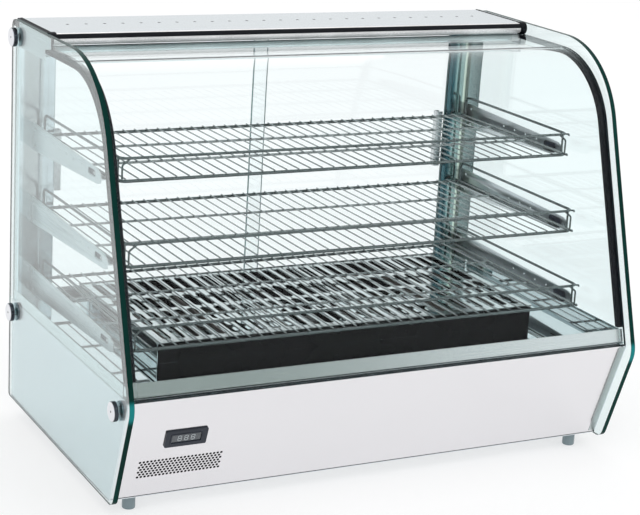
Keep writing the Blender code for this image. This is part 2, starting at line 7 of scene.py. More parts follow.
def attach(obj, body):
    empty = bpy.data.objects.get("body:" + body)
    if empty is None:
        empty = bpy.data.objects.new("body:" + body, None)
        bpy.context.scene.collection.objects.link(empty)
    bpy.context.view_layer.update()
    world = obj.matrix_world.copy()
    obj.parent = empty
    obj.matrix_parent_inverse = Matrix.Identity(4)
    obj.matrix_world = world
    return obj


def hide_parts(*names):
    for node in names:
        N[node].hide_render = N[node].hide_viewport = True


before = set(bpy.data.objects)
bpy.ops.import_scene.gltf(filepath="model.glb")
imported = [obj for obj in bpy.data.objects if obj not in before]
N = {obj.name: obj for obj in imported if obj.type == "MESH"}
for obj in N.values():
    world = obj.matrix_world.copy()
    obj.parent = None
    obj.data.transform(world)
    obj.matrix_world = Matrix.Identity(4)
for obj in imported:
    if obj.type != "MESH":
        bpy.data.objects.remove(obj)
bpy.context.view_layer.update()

S = bpy.context.scene

# =====================================================================  materials
def new_mat(name):
    m = bpy.data.materials.new(name)
    m.use_nodes = True
    nt = m.node_tree
    b = nt.nodes["Principled BSDF"]
    return m, nt, b


def node(nt, kind, **kw):
    n = nt.nodes.new(kind)
    for k, v in kw.items():
        setattr(n, k, v)
    return n


def coords(nt, scale):
    tc = node(nt, "ShaderNodeTexCoord")
    mp = node(nt, "ShaderNodeMapping")
    mp.inputs["Scale"].default_value = scale
    nt.links.new(tc.outputs["Object"], mp.inputs["Vector"])
    return mp.outputs["Vector"]


def noise(nt, vec, scale=1.0, detail=2.0, rough=0.5):
    n = node(nt, "ShaderNodeTexNoise")
    n.inputs["Scale"].default_value = scale
    n.inputs["Detail"].default_value = detail
    n.inputs["Roughness"].default_value = rough
    nt.links.new(vec, n.inputs["Vector"])
    return n.outputs["Fac"]


def remap(nt, fac, lo, hi, a=0.3, b=0.7):
    r = node(nt, "ShaderNodeMapRange")
    r.inputs["From Min"].default_value = a
    r.inputs["From Max"].default_value = b
    r.inputs["To Min"].default_value = lo
    r.inputs["To Max"].default_value = hi
    nt.links.new(fac, r.inputs["Value"])
    return r.outputs["Result"]


def ramp(nt, fac, c0, c1, a=0.3, b=0.7):
    r = node(nt, "ShaderNodeValToRGB")
    r.color_ramp.elements[0].position = a
    r.color_ramp.elements[0].color = (*c0, 1)
    r.color_ramp.elements[1].position = b
    r.color_ramp.elements[1].color = (*c1, 1)
    nt.links.new(fac, r.inputs["Fac"])
    return r.outputs["Color"]


def bump(nt, b, height, strength, distance=0.0005):
    n = node(nt, "ShaderNodeBump")
    n.inputs["Strength"].default_value = strength
    n.inputs["Distance"].default_value = distance
    nt.links.new(height, n.inputs["Height"])
    nt.links.new(n.outputs["Normal"], b.inputs["Normal"])


def brushed(name, col, rough, grain=(3, 900, 900), depth=0.04, spread=0.08, tint=0.04, aniso=0.0):
    m, nt, b = new_mat(name)
    b.inputs["Metallic"].default_value = 1.0
    g = noise(nt, coords(nt, grain), 1.0, 3.0, 0.6)
    blotch = noise(nt, coords(nt, (6, 9, 9)), 1.0, 3.0, 0.55)
    lo = tuple(max(0, c - tint) for c in col)
    hi = tuple(min(1, c + tint * 0.6) for c in col)
    mix = node(nt, "ShaderNodeMix", data_type="RGBA")
    mix.inputs[0].default_value = 0.5
    nt.links.new(ramp(nt, g, lo, hi), mix.inputs["A"])
    nt.links.new(ramp(nt, blotch, lo, hi), mix.inputs["B"])
    nt.links.new(mix.outputs["Result"], b.inputs["Base Color"])
    nt.links.new(remap(nt, g, rough - spread, rough + spread), b.inputs["Roughness"])
    bump(nt, b, g, depth, 0.0003)
    if aniso:
        b.inputs["Anisotropic"].default_value = aniso
    return m


def moulded(name, col, rough, grain=1400, depth=0.08, spec=0.5, spread=0.06, metal=0.0, coat=0.0):
    m, nt, b = new_mat(name)
    b.inputs["Metallic"].default_value = metal
    b.inputs["Specular IOR Level"].default_value = spec
    b.inputs["Coat Weight"].default_value = coat
    g = noise(nt, coords(nt, (grain, grain, grain)), 1.0, 2.0, 0.5)
    big = noise(nt, coords(nt, (14, 14, 14)), 1.0, 3.0, 0.5)
    nt.links.new(ramp(nt, big, tuple(c * 0.85 for c in col), tuple(min(1, c * 1.12 + 0.002) for c in col)), b.inputs["Base Color"])
    nt.links.new(remap(nt, g, rough - spread, rough + spread), b.inputs["Roughness"])
    bump(nt, b, g, depth, 0.0002)
    return m


def clear_glass(name, tint, shadow, ior=1.5, smear=0.012):
    """Clear sheet glass: a Principled glass for sight, a tinted Transparent for lamps' rays."""
    m, nt, b = new_mat(name)
    b.inputs["Transmission Weight"].default_value = 1.0
    b.inputs["IOR"].default_value = ior
    b.inputs["Metallic"].default_value = 0.0
    big = noise(nt, coords(nt, (5, 5, 5)), 1.0, 2.0, 0.5)
    nt.links.new(ramp(nt, big, tuple(c * 0.992 for c in tint), tint), b.inputs["Base Color"])
    nt.links.new(remap(nt, big, 0.0, smear), b.inputs["Roughness"])
    tr = node(nt, "ShaderNodeBsdfTransparent")
    tr.inputs["Color"].default_value = (*shadow, 1)
    lp = node(nt, "ShaderNodeLightPath")
    mx = node(nt, "ShaderNodeMixShader")
    nt.links.new(lp.outputs["Is Shadow Ray"], mx.inputs[0])
    nt.links.new(b.outputs["BSDF"], mx.inputs[1])
    nt.links.new(tr.outputs["BSDF"], mx.inputs[2])
    nt.links.new(mx.outputs["Shader"], nt.nodes["Material Output"].inputs["Surface"])
    return m


def along(nt, axis, a, b_, lo, hi, how="SMOOTHSTEP"):
    """Value that runs from lo to hi as the object coordinate goes from a to b_."""
    tc = node(nt, "ShaderNodeTexCoord")
    sp = node(nt, "ShaderNodeSeparateXYZ")
    nt.links.new(tc.outputs["Object"], sp.inputs[0])
    mr = node(nt, "ShaderNodeMapRange", interpolation_type=how)
    mr.inputs["From Min"].default_value = a
    mr.inputs["From Max"].default_value = b_
    mr.inputs["To Min"].default_value = lo
    mr.inputs["To Max"].default_value = hi
    nt.links.new(sp.outputs[axis], mr.inputs["Value"])
    return mr.outputs["Result"]


def mul(nt, a, b_):
    m = node(nt, "ShaderNodeMath", operation="MULTIPLY")
    nt.links.new(a, m.inputs[0])
    nt.links.new(b_, m.inputs[1])
    return m.outputs[0]


def glass_edge(name, dark, light, knee_highlight=False, rough=0.16, spec=0.25):
    """Polished edge of iron-bearing float glass: deep green, with a painted highlight of lighter teal where it rounds
    the lower front bend.
    """
    m, nt, b = new_mat(name)
    band_ = noise(nt, coords(nt, (40, 7, 5)), 1.0, 2.0, 0.5)
    col = ramp(nt, band_, dark, light, 0.35, 0.75)
    if knee_highlight:
        # painted highlight: height band from z 0.166 to 0.207, where the edge rounds the bend, mixed toward light teal
        f = mul(nt, along(nt, 2, 0.166, 0.180, 0, 1), along(nt, 2, 0.196, 0.207, 1, 0))
        mix = node(nt, "ShaderNodeMix", data_type="RGBA")
        nt.links.new(f, mix.inputs[0])
        nt.links.new(col, mix.inputs["A"])
        mix.inputs["B"].default_value = (0.012, 0.200, 0.200, 1)
        col = mix.outputs["Result"]
    nt.links.new(col, b.inputs["Base Color"])
    nt.links.new(remap(nt, noise(nt, coords(nt, (900, 900, 900)), 1.0, 2.0), rough - 0.05, rough + 0.07), b.inputs["Roughness"])
    b.inputs["Specular IOR Level"].default_value = spec
    return m


def post_steel_painted_bands(name, sign, painted_band_stops):
    """Polished upright whose base colour carries painted reflections: light and dark bands across its width, running
    from top to bottom.
    """
    m, nt, b = new_mat(name)
    b.inputs["Metallic"].default_value = 1.0
    rp = node(nt, "ShaderNodeValToRGB")
    nt.links.new(along(nt, 0, sign * 0.3660, sign * 0.4264, 0.0, 1.0, "LINEAR"), rp.inputs["Fac"])
    e = rp.color_ramp.elements
    e[0].position, e[0].color = painted_band_stops[0][0], (*painted_band_stops[0][1], 1)
    e[1].position, e[1].color = painted_band_stops[-1][0], (*painted_band_stops[-1][1], 1)
    for at, col in painted_band_stops[1:-1]:
        e.new(at).color = (*col, 1)
    nt.links.new(rp.outputs["Color"], b.inputs["Base Color"])
    g = noise(nt, coords(nt, (1400, 1400, 2)), 1.0, 3.0, 0.6)
    nt.links.new(remap(nt, g, 0.13, 0.20), b.inputs["Roughness"])
    bump(nt, b, g, 0.006, 0.0003)
    return m


def sill_steel():
    """Fine satin steel strip, its colour painted a little lighter towards its right end: painted light where the cabin
    light washes it.
    """
    m, nt, b = new_mat("steel_sill")
    b.inputs["Metallic"].default_value = 1.0
    g = noise(nt, coords(nt, (2, 1400, 1400)), 1.0, 3.0, 0.6)
    # painted light: colour ramps from darker at the left end to lighter at the right end
    mix = node(nt, "ShaderNodeMix", data_type="RGBA")
    nt.links.new(along(nt, 0, -0.30, 0.42, 0, 1), mix.inputs[0])
    nt.links.new(ramp(nt, g, (0.29, 0.33, 0.315), (0.31, 0.35, 0.335)), mix.inputs["A"])
    nt.links.new(ramp(nt, g, (0.68, 0.71, 0.71), (0.71, 0.74, 0.74)), mix.inputs["B"])
    nt.links.new(mix.outputs["Result"], b.inputs["Base Color"])
    nt.links.new(remap(nt, g, 0.22, 0.28), b.inputs["Roughness"])
    bump(nt, b, g, 0.006, 0.0003)
    return m


MAT = {
    "side_glass": clear_glass("glass_side", (0.890, 0.970, 0.972), (0.90, 0.965, 0.965), 1.5),
    "front_glass": clear_glass("glass_front", (0.972, 0.994, 0.996), (0.97, 0.99, 0.99), 1.17),
    "door_glass": clear_glass("glass_door", (0.955, 0.985, 0.988), (0.95, 0.98, 0.98), 1.42),
    # the side glass edge carries the painted highlight band at its lower front bend
    "edge": glass_edge("glass_edge_green", (0.0006, 0.022, 0.017), (0.0016, 0.040, 0.033), True, 0.22, 0.06),
    "edge_front": glass_edge("glass_edge_front", (0.010, 0.016, 0.020), (0.020, 0.034, 0.038), False, 0.22, 0.06),
    "edge_pale": glass_edge("glass_edge_pale", (0.05, 0.15, 0.15), (0.14, 0.28, 0.28), False, 0.2, 0.4),
    "steel": brushed("steel_brushed", (0.80, 0.79, 0.81), 0.14, (2, 1400, 1400), 0.005, 0.03, 0.012),
    "roof": brushed("steel_roof", (0.70, 0.725, 0.745), 0.20, (2, 1400, 1400), 0.006, 0.03, 0.018),
    "nose": moulded("nose_satin", (0.86, 0.845, 0.85), 0.26, 1100, 0.01, 0.5, 0.04, 0.35),
    # painted reflection and painted shade: dark chrome for the glass caps' side wall, where dark surroundings are
    # mirrored, and for their centre hole, where shade falls
    "cap_dark": brushed("cap_rim_dark", (0.055, 0.060, 0.070), 0.07, (120, 120, 120), 0.004, 0.02, 0.02),
    "mirror": brushed("steel_mirror", (0.70, 0.76, 0.77), 0.028, (3, 200, 200), 0.001, 0.012, 0.012),
    "fill": moulded("end_fill_grey", (0.42, 0.46, 0.47), 0.45, 900, 0.03, 0.3),
    "steel_base": brushed("steel_housing", (0.76, 0.80, 0.83), 0.24, (2, 1400, 1400), 0.006, 0.03, 0.015),
    "steel_sill": sill_steel(),
    "steel_post": brushed("steel_post", (0.34, 0.385, 0.385), 0.16, (1400, 1400, 2), 0.006, 0.03, 0.03),
    # painted reflections: light and dark bands across each post's width stand in for the surroundings it mirrors
    "post_left": post_steel_painted_bands("steel_post_left", -1, [(0.0, (0.62, 0.72, 0.76)), (0.34, (0.56, 0.66, 0.69)), (0.42, (0.43, 0.48, 0.49)), (0.84, (0.42, 0.47, 0.475)), (0.90, (0.66, 0.76, 0.79)), (1.0, (0.70, 0.80, 0.82))]),
    "post_right": post_steel_painted_bands("steel_post_right", 1, [(0.0, (0.03, 0.10, 0.12)), (0.08, (0.04, 0.12, 0.14)), (0.14, (0.24, 0.37, 0.37)), (0.34, (0.28, 0.39, 0.37)), (0.37, (0.62, 0.70, 0.62)), (0.42, (0.48, 0.54, 0.46)),
                                                     (0.45, (0.11, 0.14, 0.12)), (0.56, (0.13, 0.16, 0.14)), (0.60, (0.23, 0.30, 0.30)), (0.80, (0.20, 0.25, 0.25)), (1.0, (0.13, 0.17, 0.17))]),
    "end_strip": brushed("steel_end_strip", (0.50, 0.555, 0.555), 0.30, (1200, 1200, 2), 0.006, 0.04, 0.012),
    "steel_arm": brushed("steel_arm", (0.60, 0.645, 0.66), 0.30, (1200, 2, 1200), 0.006, 0.04, 0.012),
    "polished": brushed("steel_polished", (0.70, 0.74, 0.745), 0.045, (3, 300, 300), 0.002, 0.02, 0.012),
    "cover": brushed("steel_cover", (0.70, 0.74, 0.74), 0.10, (700, 3, 700), 0.006, 0.04, 0.02),
    # painted reflection: the shelf wire and rod chrome have dark base colours standing in for the dark surroundings
    # they mirror
    "wire": brushed("wire_chrome", (0.30, 0.33, 0.33), 0.13, (60, 60, 60), 0.01, 0.04, 0.04),
    "rod": brushed("rod_chrome", (0.13, 0.155, 0.155), 0.11, (40, 40, 40), 0.01, 0.03, 0.025),
    "chrome": brushed("cap_chrome", (0.76, 0.77, 0.80), 0.05, (120, 120, 120), 0.004, 0.02, 0.02),
    "screw": brushed("screw_zinc", (0.62, 0.62, 0.63), 0.25, (400, 400, 400), 0.02, 0.08, 0.06),
    "alu": brushed("aluminium_satin", (0.60, 0.61, 0.62), 0.34, (3, 900, 900), 0.01, 0.05, 0.02),
    "alu_v": brushed("aluminium_satin_upright", (0.60, 0.61, 0.62), 0.34, (900, 900, 3), 0.01, 0.05, 0.02),
    "rubber": moulded("seal_rubber_black", (0.006, 0.007, 0.010), 0.50, 900, 0.10, 0.10),
    "black": moulded("paint_gloss_black", (0.0020, 0.0020, 0.0024), 0.14, 300, 0.01, 0.10, 0.04),
    # painted shade: near-black for the insides of holes and openings
    "hole": moulded("dark_inside", (0.0015, 0.0015, 0.0018), 0.80, 900, 0.05, 0.02),
    "plastic": moulded("plastic_dark", (0.010, 0.015, 0.026), 0.34, 1500, 0.06, 0.4),
    "foot": moulded("foot_grey", (0.19, 0.245, 0.265), 0.38, 700, 0.05, 0.5),
    "foot_pad": moulded("foot_pad_rubber", (0.05, 0.055, 0.06), 0.70, 600, 0.20, 0.3),
    "lamp": moulded("lamp_white", (0.80, 0.90, 0.90), 0.30, 300, 0.02, 0.5),
    "element": moulded("heater_sheath", (0.10, 0.085, 0.075), 0.45, 900, 0.20, 0.5, metal=0.9),
    "grey_plastic": moulded("plastic_light_grey", (0.52, 0.56, 0.58), 0.40, 900, 0.06, 0.5),
    "mark": moulded("print_grey", (0.12, 0.12, 0.13), 0.55, 900, 0.03, 0.4),
    "amber": moulded("pilot_amber", (0.75, 0.22, 0.02), 0.15, 200, 0.02, 0.6, coat=0.6),
    "green": moulded("pilot_green", (0.03, 0.42, 0.12), 0.15, 200, 0.02, 0.6, coat=0.6),
}


def lens_mat():
    m, nt, b = new_mat("display_lens_dark")
    big = noise(nt, coords(nt, (60, 60, 90)), 1.0, 1.0)
    nt.links.new(ramp(nt, big, (0.035, 0.042, 0.050), (0.060, 0.070, 0.082)), b.inputs["Base Color"])
    nt.links.new(remap(nt, big, 0.06, 0.12), b.inputs["Roughness"])
    b.inputs["Coat Weight"].default_value = 0.8
    b.inputs["Coat Roughness"].default_value = 0.04
    return m


MAT["lens"] = lens_mat()
MAT["cover_tube"] = clear_glass("lamp_guard", (0.80, 0.925, 0.93), (0.9, 0.96, 0.96), 1.40, 0.12)

# =====================================================================  mesh helpers
COL = bpy.data.collections.new("looks")
S.collection.children.link(COL)


def link(ob):
    for c in list(ob.users_collection):
        c.objects.unlink(ob)
    COL.objects.link(ob)
    return ob


def from_bm(name, bm, mats, smooth=35):
    me = bpy.data.meshes.new(name)
    bm.to_mesh(me)
    bm.free()
    ob = bpy.data.objects.new(name, me)
    COL.objects.link(ob)
    for m in mats if isinstance(mats, (list, tuple)) else [mats]:
        me.materials.append(MAT[m] if isinstance(m, str) else m)
    shade(ob, smooth)
    return ob


def shade(ob, angle=35, weigh=True):
    if angle:
        ob.data.shade_smooth()
        ob.data.set_sharp_from_angle(angle=math.radians(angle))
        if weigh:
            m = ob.modifiers.new("w", "WEIGHTED_NORMAL")
            m.mode = "FACE_AREA"
            m.weight = 100
            m.keep_sharp = True
            apply_mods(ob)


def apply_mods(ob):
    bpy.context.view_layer.update()
    deps = bpy.context.evaluated_depsgraph_get()
    me = bpy.data.meshes.new_from_object(ob.evaluated_get(deps))
    old = ob.data
    ob.modifiers.clear()
    ob.data = me
    me.name = ob.name
    if old.users == 0:
        bpy.data.meshes.remove(old)
    return ob


PLANES = {"XY": Matrix.Identity(4), "YZ": Euler((math.pi / 2, 0, math.pi / 2)).to_matrix().to_4x4(), "XZ": Euler((math.pi / 2, 0, 0)).to_matrix().to_4x4()}


def slab(name, outline, lo, hi, plane="YZ", holes=(), mats="steel", bevel=0.0, seg=2, smooth=35, edge_slot=None):
    """A flat outline with holes, given thickness along the third axis, its rims eased by bevel."""
    cu = bpy.data.curves.new(name, "CURVE")
    cu.dimensions = "2D"
    cu.fill_mode = "BOTH"
    cu.extrude = (hi - lo) / 2
    for loop in (outline, *holes):
        sp = cu.splines.new("POLY")
        sp.points.add(len(loop) - 1)
        for p, (a, b) in zip(sp.points, loop):
            p.co = (a, b, 0, 1)
        sp.use_cyclic_u = True
    tmp = bpy.data.objects.new("tmp", cu)
    S.collection.objects.link(tmp)
    bpy.context.view_layer.update()
    me = bpy.data.meshes.new_from_object(tmp.evaluated_get(bpy.context.evaluated_depsgraph_get()))
    bpy.data.objects.remove(tmp)
    bm = bmesh.new()
    bm.from_mesh(me)
    mid = (hi + lo) / 2
    off = {"XY": (0, 0, mid), "YZ": (mid, 0, 0), "XZ": (0, mid, 0)}[plane]
    bm.transform(Matrix.Translation(off) @ PLANES[plane])
    bmesh.ops.remove_doubles(bm, verts=bm.verts, dist=1e-6)
    bmesh.ops.dissolve_limit(bm, angle_limit=0.0005, verts=bm.verts, edges=bm.edges)
    bmesh.ops.recalc_face_normals(bm, faces=bm.faces)
    if bevel:
        axis = {"XY": Vector((0, 0, 1)), "YZ": Vector((1, 0, 0)), "XZ": Vector((0, 1, 0))}[plane]
        rim = [e for e in bm.edges if len(e.link_faces) == 2 and (abs(e.link_faces[0].normal.dot(axis)) > 0.9) != (abs(e.link_faces[1].normal.dot(axis)) > 0.9)]
        bmesh.ops.bevel(bm, geom=rim, offset=bevel, segments=seg, profile=0.5, affect="EDGES", clamp_overlap=True)
    if edge_slot is not None:
        axis = {"XY": Vector((0, 0, 1)), "YZ": Vector((1, 0, 0)), "XZ": Vector((0, 1, 0))}[plane]
        bm.normal_update()
        for f in bm.faces:
            if abs(f.normal.dot(axis)) < 0.985:
                f.material_index = edge_slot
    bpy.data.meshes.remove(me)
    return from_bm(name, bm, mats, smooth)


def fillet(corners, steps=8):
    out = []
    n = len(corners)
    for i in range(n):
        p = Vector(corners[i][:2])
        r = corners[i][2]
        if r <= 0:
            out.append(tuple(p))
            continue
        u = (Vector(corners[i - 1][:2]) - p).normalized()
        v = (Vector(corners[(i + 1) % n][:2]) - p).normalized()
        half = u.angle(v) / 2
        t = r / math.tan(half)
        c = p + (u + v).normalized() * (r / math.sin(half))
        a0 = p + u * t - c
        turn = math.pi - 2 * half
        sign = 1 if a0.x * (p + v * t - c).y - a0.y * (p + v * t - c).x > 0 else -1
        k = corners[i][3] if len(corners[i]) > 3 else steps
        for j in range(k + 1):
            q = Matrix.Rotation(sign * turn * j / k, 2) @ a0 + c
            out.append((q.x, q.y))
    return out


def round_rect(cx, cy, w, h, r, steps=5):
    return fillet([(cx - w / 2, cy - h / 2, r), (cx + w / 2, cy - h / 2, r), (cx + w / 2, cy + h / 2, r), (cx - w / 2, cy + h / 2, r)], steps)


def circle(cx, cy, r, n=24):
    return [(cx + r * math.cos(2 * math.pi * i / n), cy + r * math.sin(2 * math.pi * i / n)) for i in range(n)]


def ribbon(path, t):
    pts = [Vector(p) for p in path]
    other = []
    for i, p in enumerate(pts):
        d0 = (p - pts[i - 1]).normalized() if i else None
        d1 = (pts[i + 1] - p).normalized() if i < len(pts) - 1 else None
        d0 = d0 or d1
        d1 = d1 or d0
        n0 = Vector((-d0.y, d0.x))
        n1 = Vector((-d1.y, d1.x))
        m = (n0 + n1).normalized()
        other.append(tuple(p + m * (t / m.dot(n0))))
    return [tuple(p) for p in pts] + other[::-1]


def open_fillet(pts, r, steps=5):
    """Open path in 2D with its inner corners rounded."""
    c = [(*pts[0], 0)] + [(*p, r) for p in pts[1:-1]] + [(*pts[-1], 0)]
    return fillet(c, steps)


def bend3(points, radius, steps=6):
    pts = [Vector(p) for p in points]
    out = [pts[0]]
    for i in range(1, len(pts) - 1):
        p = pts[i]
        r = radius[i] if isinstance(radius, (list, tuple)) else radius
        u = (pts[i - 1] - p).normalized()
        v = (pts[i + 1] - p).normalized()
        half = u.angle(v) / 2
        t = r / math.tan(half)
        c = p + (u + v).normalized() * (r / math.sin(half))
        a, b = p + u * t - c, p + v * t - c
        ang = a.angle(b)
        for j in range(steps + 1):
            f = j / steps
            out.append(c + (a * math.sin((1 - f) * ang) + b * math.sin(f * ang)) / math.sin(ang))
    out.append(pts[-1])
    return out


def add_tube(bm, points, radius, sides=12, closed=False, dome=True):
    """A round bar swept along points into bm, its ends slightly domed."""
    pts = [Vector(p) for p in points]
    n = len(pts)
    tang = []
    for i in range(n):
        a = pts[(i - 1) % n] if (i or closed) else pts[i]
        b = pts[(i + 1) % n] if (i < n - 1 or closed) else pts[i]
        tang.append((b - a).normalized())
    ref = Vector((0, 0, 1)) if abs(tang[0].z) < 0.9 else Vector((1, 0, 0))
    nrm = (ref - tang[0] * ref.dot(tang[0])).normalized()
    rings = []
    for i in range(n):
        if i:
            nrm = (nrm - tang[i] * nrm.dot(tang[i])).normalized()
        bi = tang[i].cross(nrm)
        rings.append([bm.verts.new(pts[i] + (nrm * math.cos(2 * math.pi * k / sides) + bi * math.sin(2 * math.pi * k / sides)) * radius) for k in range(sides)])
    m = n if closed else n - 1
    for i in range(m):
        a, b = rings[i], rings[(i + 1) % n]
        for k in range(sides):
            bm.faces.new((a[k], a[(k + 1) % sides], b[(k + 1) % sides], b[k]))
    if not closed:
        for ring, p, t, flip in ((rings[0], pts[0], -tang[0], True), (rings[-1], pts[-1], tang[-1], False)):
            if dome:
                inner = [bm.verts.new(p + (v.co - p) * 0.7 + t * radius * 0.35) for v in ring]
                for k in range(sides):
                    q = (ring[k], ring[(k + 1) % sides], inner[(k + 1) % sides], inner[k])
                    bm.faces.new(q[::-1] if flip else q)
                bm.faces.new(inner[::-1] if flip else inner)
            else:
                bm.faces.new(ring[::-1] if flip else ring)


def rods(name, items, mats, smooth=50):
    bm = bmesh.new()
    for it in items:
        add_tube(bm, *it)
    bmesh.ops.recalc_face_normals(bm, faces=bm.faces)
    return from_bm(name, bm, mats, smooth)


def add_lathe(bm, profile, mtx, steps=40):
    """A closed turned shape, profile of (radius, height) from top to bottom."""
    rings = []
    for r, h in profile:
        if r < 1e-7:
            rings.append([bm.verts.new(mtx @ Vector((0, 0, h)))])
        else:
            rings.append([bm.verts.new(mtx @ Vector((r * math.cos(2 * math.pi * k / steps), r * math.sin(2 * math.pi * k / steps), h))) for k in range(steps)])
    faces = []
    for a, b in zip(rings, rings[1:]):
        for k in range(steps):
            l = (k + 1) % steps
            if len(a) == 1 and len(b) == 1:
                continue
            if len(a) == 1:
                faces.append(bm.faces.new((a[0], b[k], b[l])))
            elif len(b) == 1:
                faces.append(bm.faces.new((a[k], b[0], a[l])))
            else:
                faces.append(bm.faces.new((a[k], b[k], b[l], a[l])))
    return faces


def lathe(name, profile, mtx, mats, steps=40, smooth=30):
    bm = bmesh.new()
    add_lathe(bm, profile, mtx, steps)
    bmesh.ops.recalc_face_normals(bm, faces=bm.faces)
    return from_bm(name, bm, mats, smooth)


def toward(axis, at):
    """Turns a shape made along +Z so that it points along axis, and puts it at a point."""
    return Matrix.Translation(at) @ Vector((0, 0, 1)).rotation_difference(Vector(axis)).to_matrix().to_4x4()


def cut(ob, cutter_bm):
    me = bpy.data.meshes.new("cutter")
    cutter_bm.to_mesh(me)
    cutter_bm.free()
    c = bpy.data.objects.new("cutter", me)
    S.collection.objects.link(c)
    m = ob.modifiers.new("cut", "BOOLEAN")
    m.object = c
    m.solver = "EXACT"
    apply_mods(ob)
    bpy.data.objects.remove(c)
    bpy.data.meshes.remove(me)
    shade(ob)
    return ob


def prisms(centres, radius, length, axis, sides=14):
    bm = bmesh.new()
    for c in centres:
        bmesh.ops.create_cone(bm, cap_ends=True, segments=sides, radius1=radius, radius2=radius, depth=length, matrix=toward(axis, c))
    return bm


def join_into(bm, other_bm):
    me = bpy.data.meshes.new("t")
    other_bm.to_mesh(me)
    other_bm.free()
    bm.from_mesh(me)
    bpy.data.meshes.remove(me)


def place(ob, body, *nodes, slot=None):
    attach(ob, body)
    if nodes:
        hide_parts(*nodes)
    return ob


# =====================================================================  shared sizes, as in the CAD
HALF, GT = 0.4365, 0.008
GIN = HALF - GT
REAR_Y, GB, GTOP = 0.262, 0.030, 0.660
KNEE, BROW_Y, TOE_Y, TOE_Z, BROW_R = (-0.2755, 0.189), -0.1241, -0.2155, 0.0222, 0.160
DROP = 0.0064
S_UP = (BROW_Y - KNEE[0]) / (GTOP - KNEE[1])
CAPS = (("rear_top", 0.2440, 0.6330), ("rear_bottom", 0.2440, 0.1800), ("front_bottom", -0.2220, 0.1740))
F_TOP, F_BOT = (-0.2605, 0.1970), (-0.1990, 0.0270)
S_F = (F_BOT[0] - F_TOP[0]) / (F_TOP[1] - F_BOT[1])
TILT = math.atan(S_F)
DECK_Z = 0.2000
LEVELS = (("top", 0.4780, -0.0980), ("middle", 0.3580, -0.1330), ("bottom", 0.2400, -0.1660))
SHW, SHR = 0.3920, 0.2240


def front_line(z, inset=0.0):
    return KNEE[0] + S_UP * (z - KNEE[1]) + inset * math.sqrt(1 + S_UP * S_UP)


def fascia_y(z):
    return F_TOP[0] + S_F * (F_TOP[1] - z)


def offset_path(inset, y_rear, z_low, steps=40):
    z = GTOP - inset - DROP
    return fillet([(y_rear, z, 0), (front_line(z, inset), z, BROW_R - inset, steps), (front_line(z_low, inset), z_low, 0)])


def band(inset, t, y_rear, z_low):
    return offset_path(inset, y_rear, z_low) + offset_path(inset + t, y_rear, z_low)[::-1]


# =====================================================================  glass
side_out = fillet([(REAR_Y, GB, 0.006, 6), (TOE_Y, TOE_Z, 0.018, 10), (KNEE[0], KNEE[1], 0.040, 14), (BROW_Y, GTOP, BROW_R, 48), (REAR_Y, GTOP, 0.012, 10)])
for side, sx in (("left", -1), ("right", 1)):
    lo, hi = sorted((sx * GIN, sx * HALF))
    holes = [circle(y, z, 0.006, 24) for _, y, z in CAPS]
    g = slab("side_glass_" + side + "_pane", side_out, lo, hi, "YZ", holes, ["side_glass", "edge"], 0.0008, 2, 30, 1)
    place(g, "root", "side_glass_" + side, slot="side_glass")
    for tag, y, z in CAPS:
        at = (sx * HALF, y, z)
        prof = [(0, 0.0050), (0.0013, 0.0050), (0.0013, 0.0074), (0.0017, 0.0080), (0.0024, 0.0083), (0.0090, 0.0085), (0.0128, 0.0084), (0.0138, 0.0081), (0.0145, 0.0075), (0.0149, 0.0066), (0.0150, 0.0056),
                (0.0150, 0.0030), (0.0150, 0.0012), (0.0146, 0.0005), (0.0140, 0.0003), (0.0047, 0.0003), (0.0047, -0.0078), (0, -0.0078)]
        cap = lathe("cap_%s_%s" % (tag, side), prof, toward((sx, 0, 0), at), ["chrome", "cap_dark"], 48)
        # painted reflection on the cap's side wall and painted shade in its centre hole: these faces take the dark
        # chrome
        for q in cap.data.polygons:
            c = q.center
            h, rad = abs(c.x) - HALF, math.hypot(c.y - y, c.z - z)
            if 0.0016 < h < 0.0072 and rad > 0.0140 or h > 0.0045 and rad < 0.0016:
                q.material_index = 1
        place(cap, "root", "glass_cap_%s_%s" % (tag, side), slot="chrome_cap")

fg = slab("front_glass_pane", band(0.012, 0.006, 0.1130, 0.1976), -0.4276, 0.4276, "YZ", (), ["front_glass", "edge_front"], 0.0006, 1, 30)
for p in fg.data.polygons:
    n = p.normal
    c = p.center
    cut_end = abs(n.x) > 0.3 or (c.y > 0.1125) or (c.z < 0.1985)
    p.material_index = 1 if cut_end else 0
place(fg, "root", "front_glass", slot="front_glass")

for side, sx in (("left", -1), ("right", 1)):
    lo, hi = sorted((sx * 0.4165, sx * (GIN - 0.0003)))
    s = slab("seal_strip_" + side, band(0.0183, 0.0055, 0.1130, 0.2240), lo, hi, "YZ", (), "rubber", 0.0012, 3, 40)
    place(s, "root", "front_seal_" + side, slot="seal_rubber")
    # the lip that grips the glass edge, seen as a raised bead along the inner rim of the strip
    x = sx * 0.4172
    lip = rods("seal_lip_" + side, [([(x, y, z) for y, z in offset_path(0.0222, 0.1120, 0.2250)], 0.0016, 10)], "rubber")
    place(lip, "root", slot="seal_rubber")

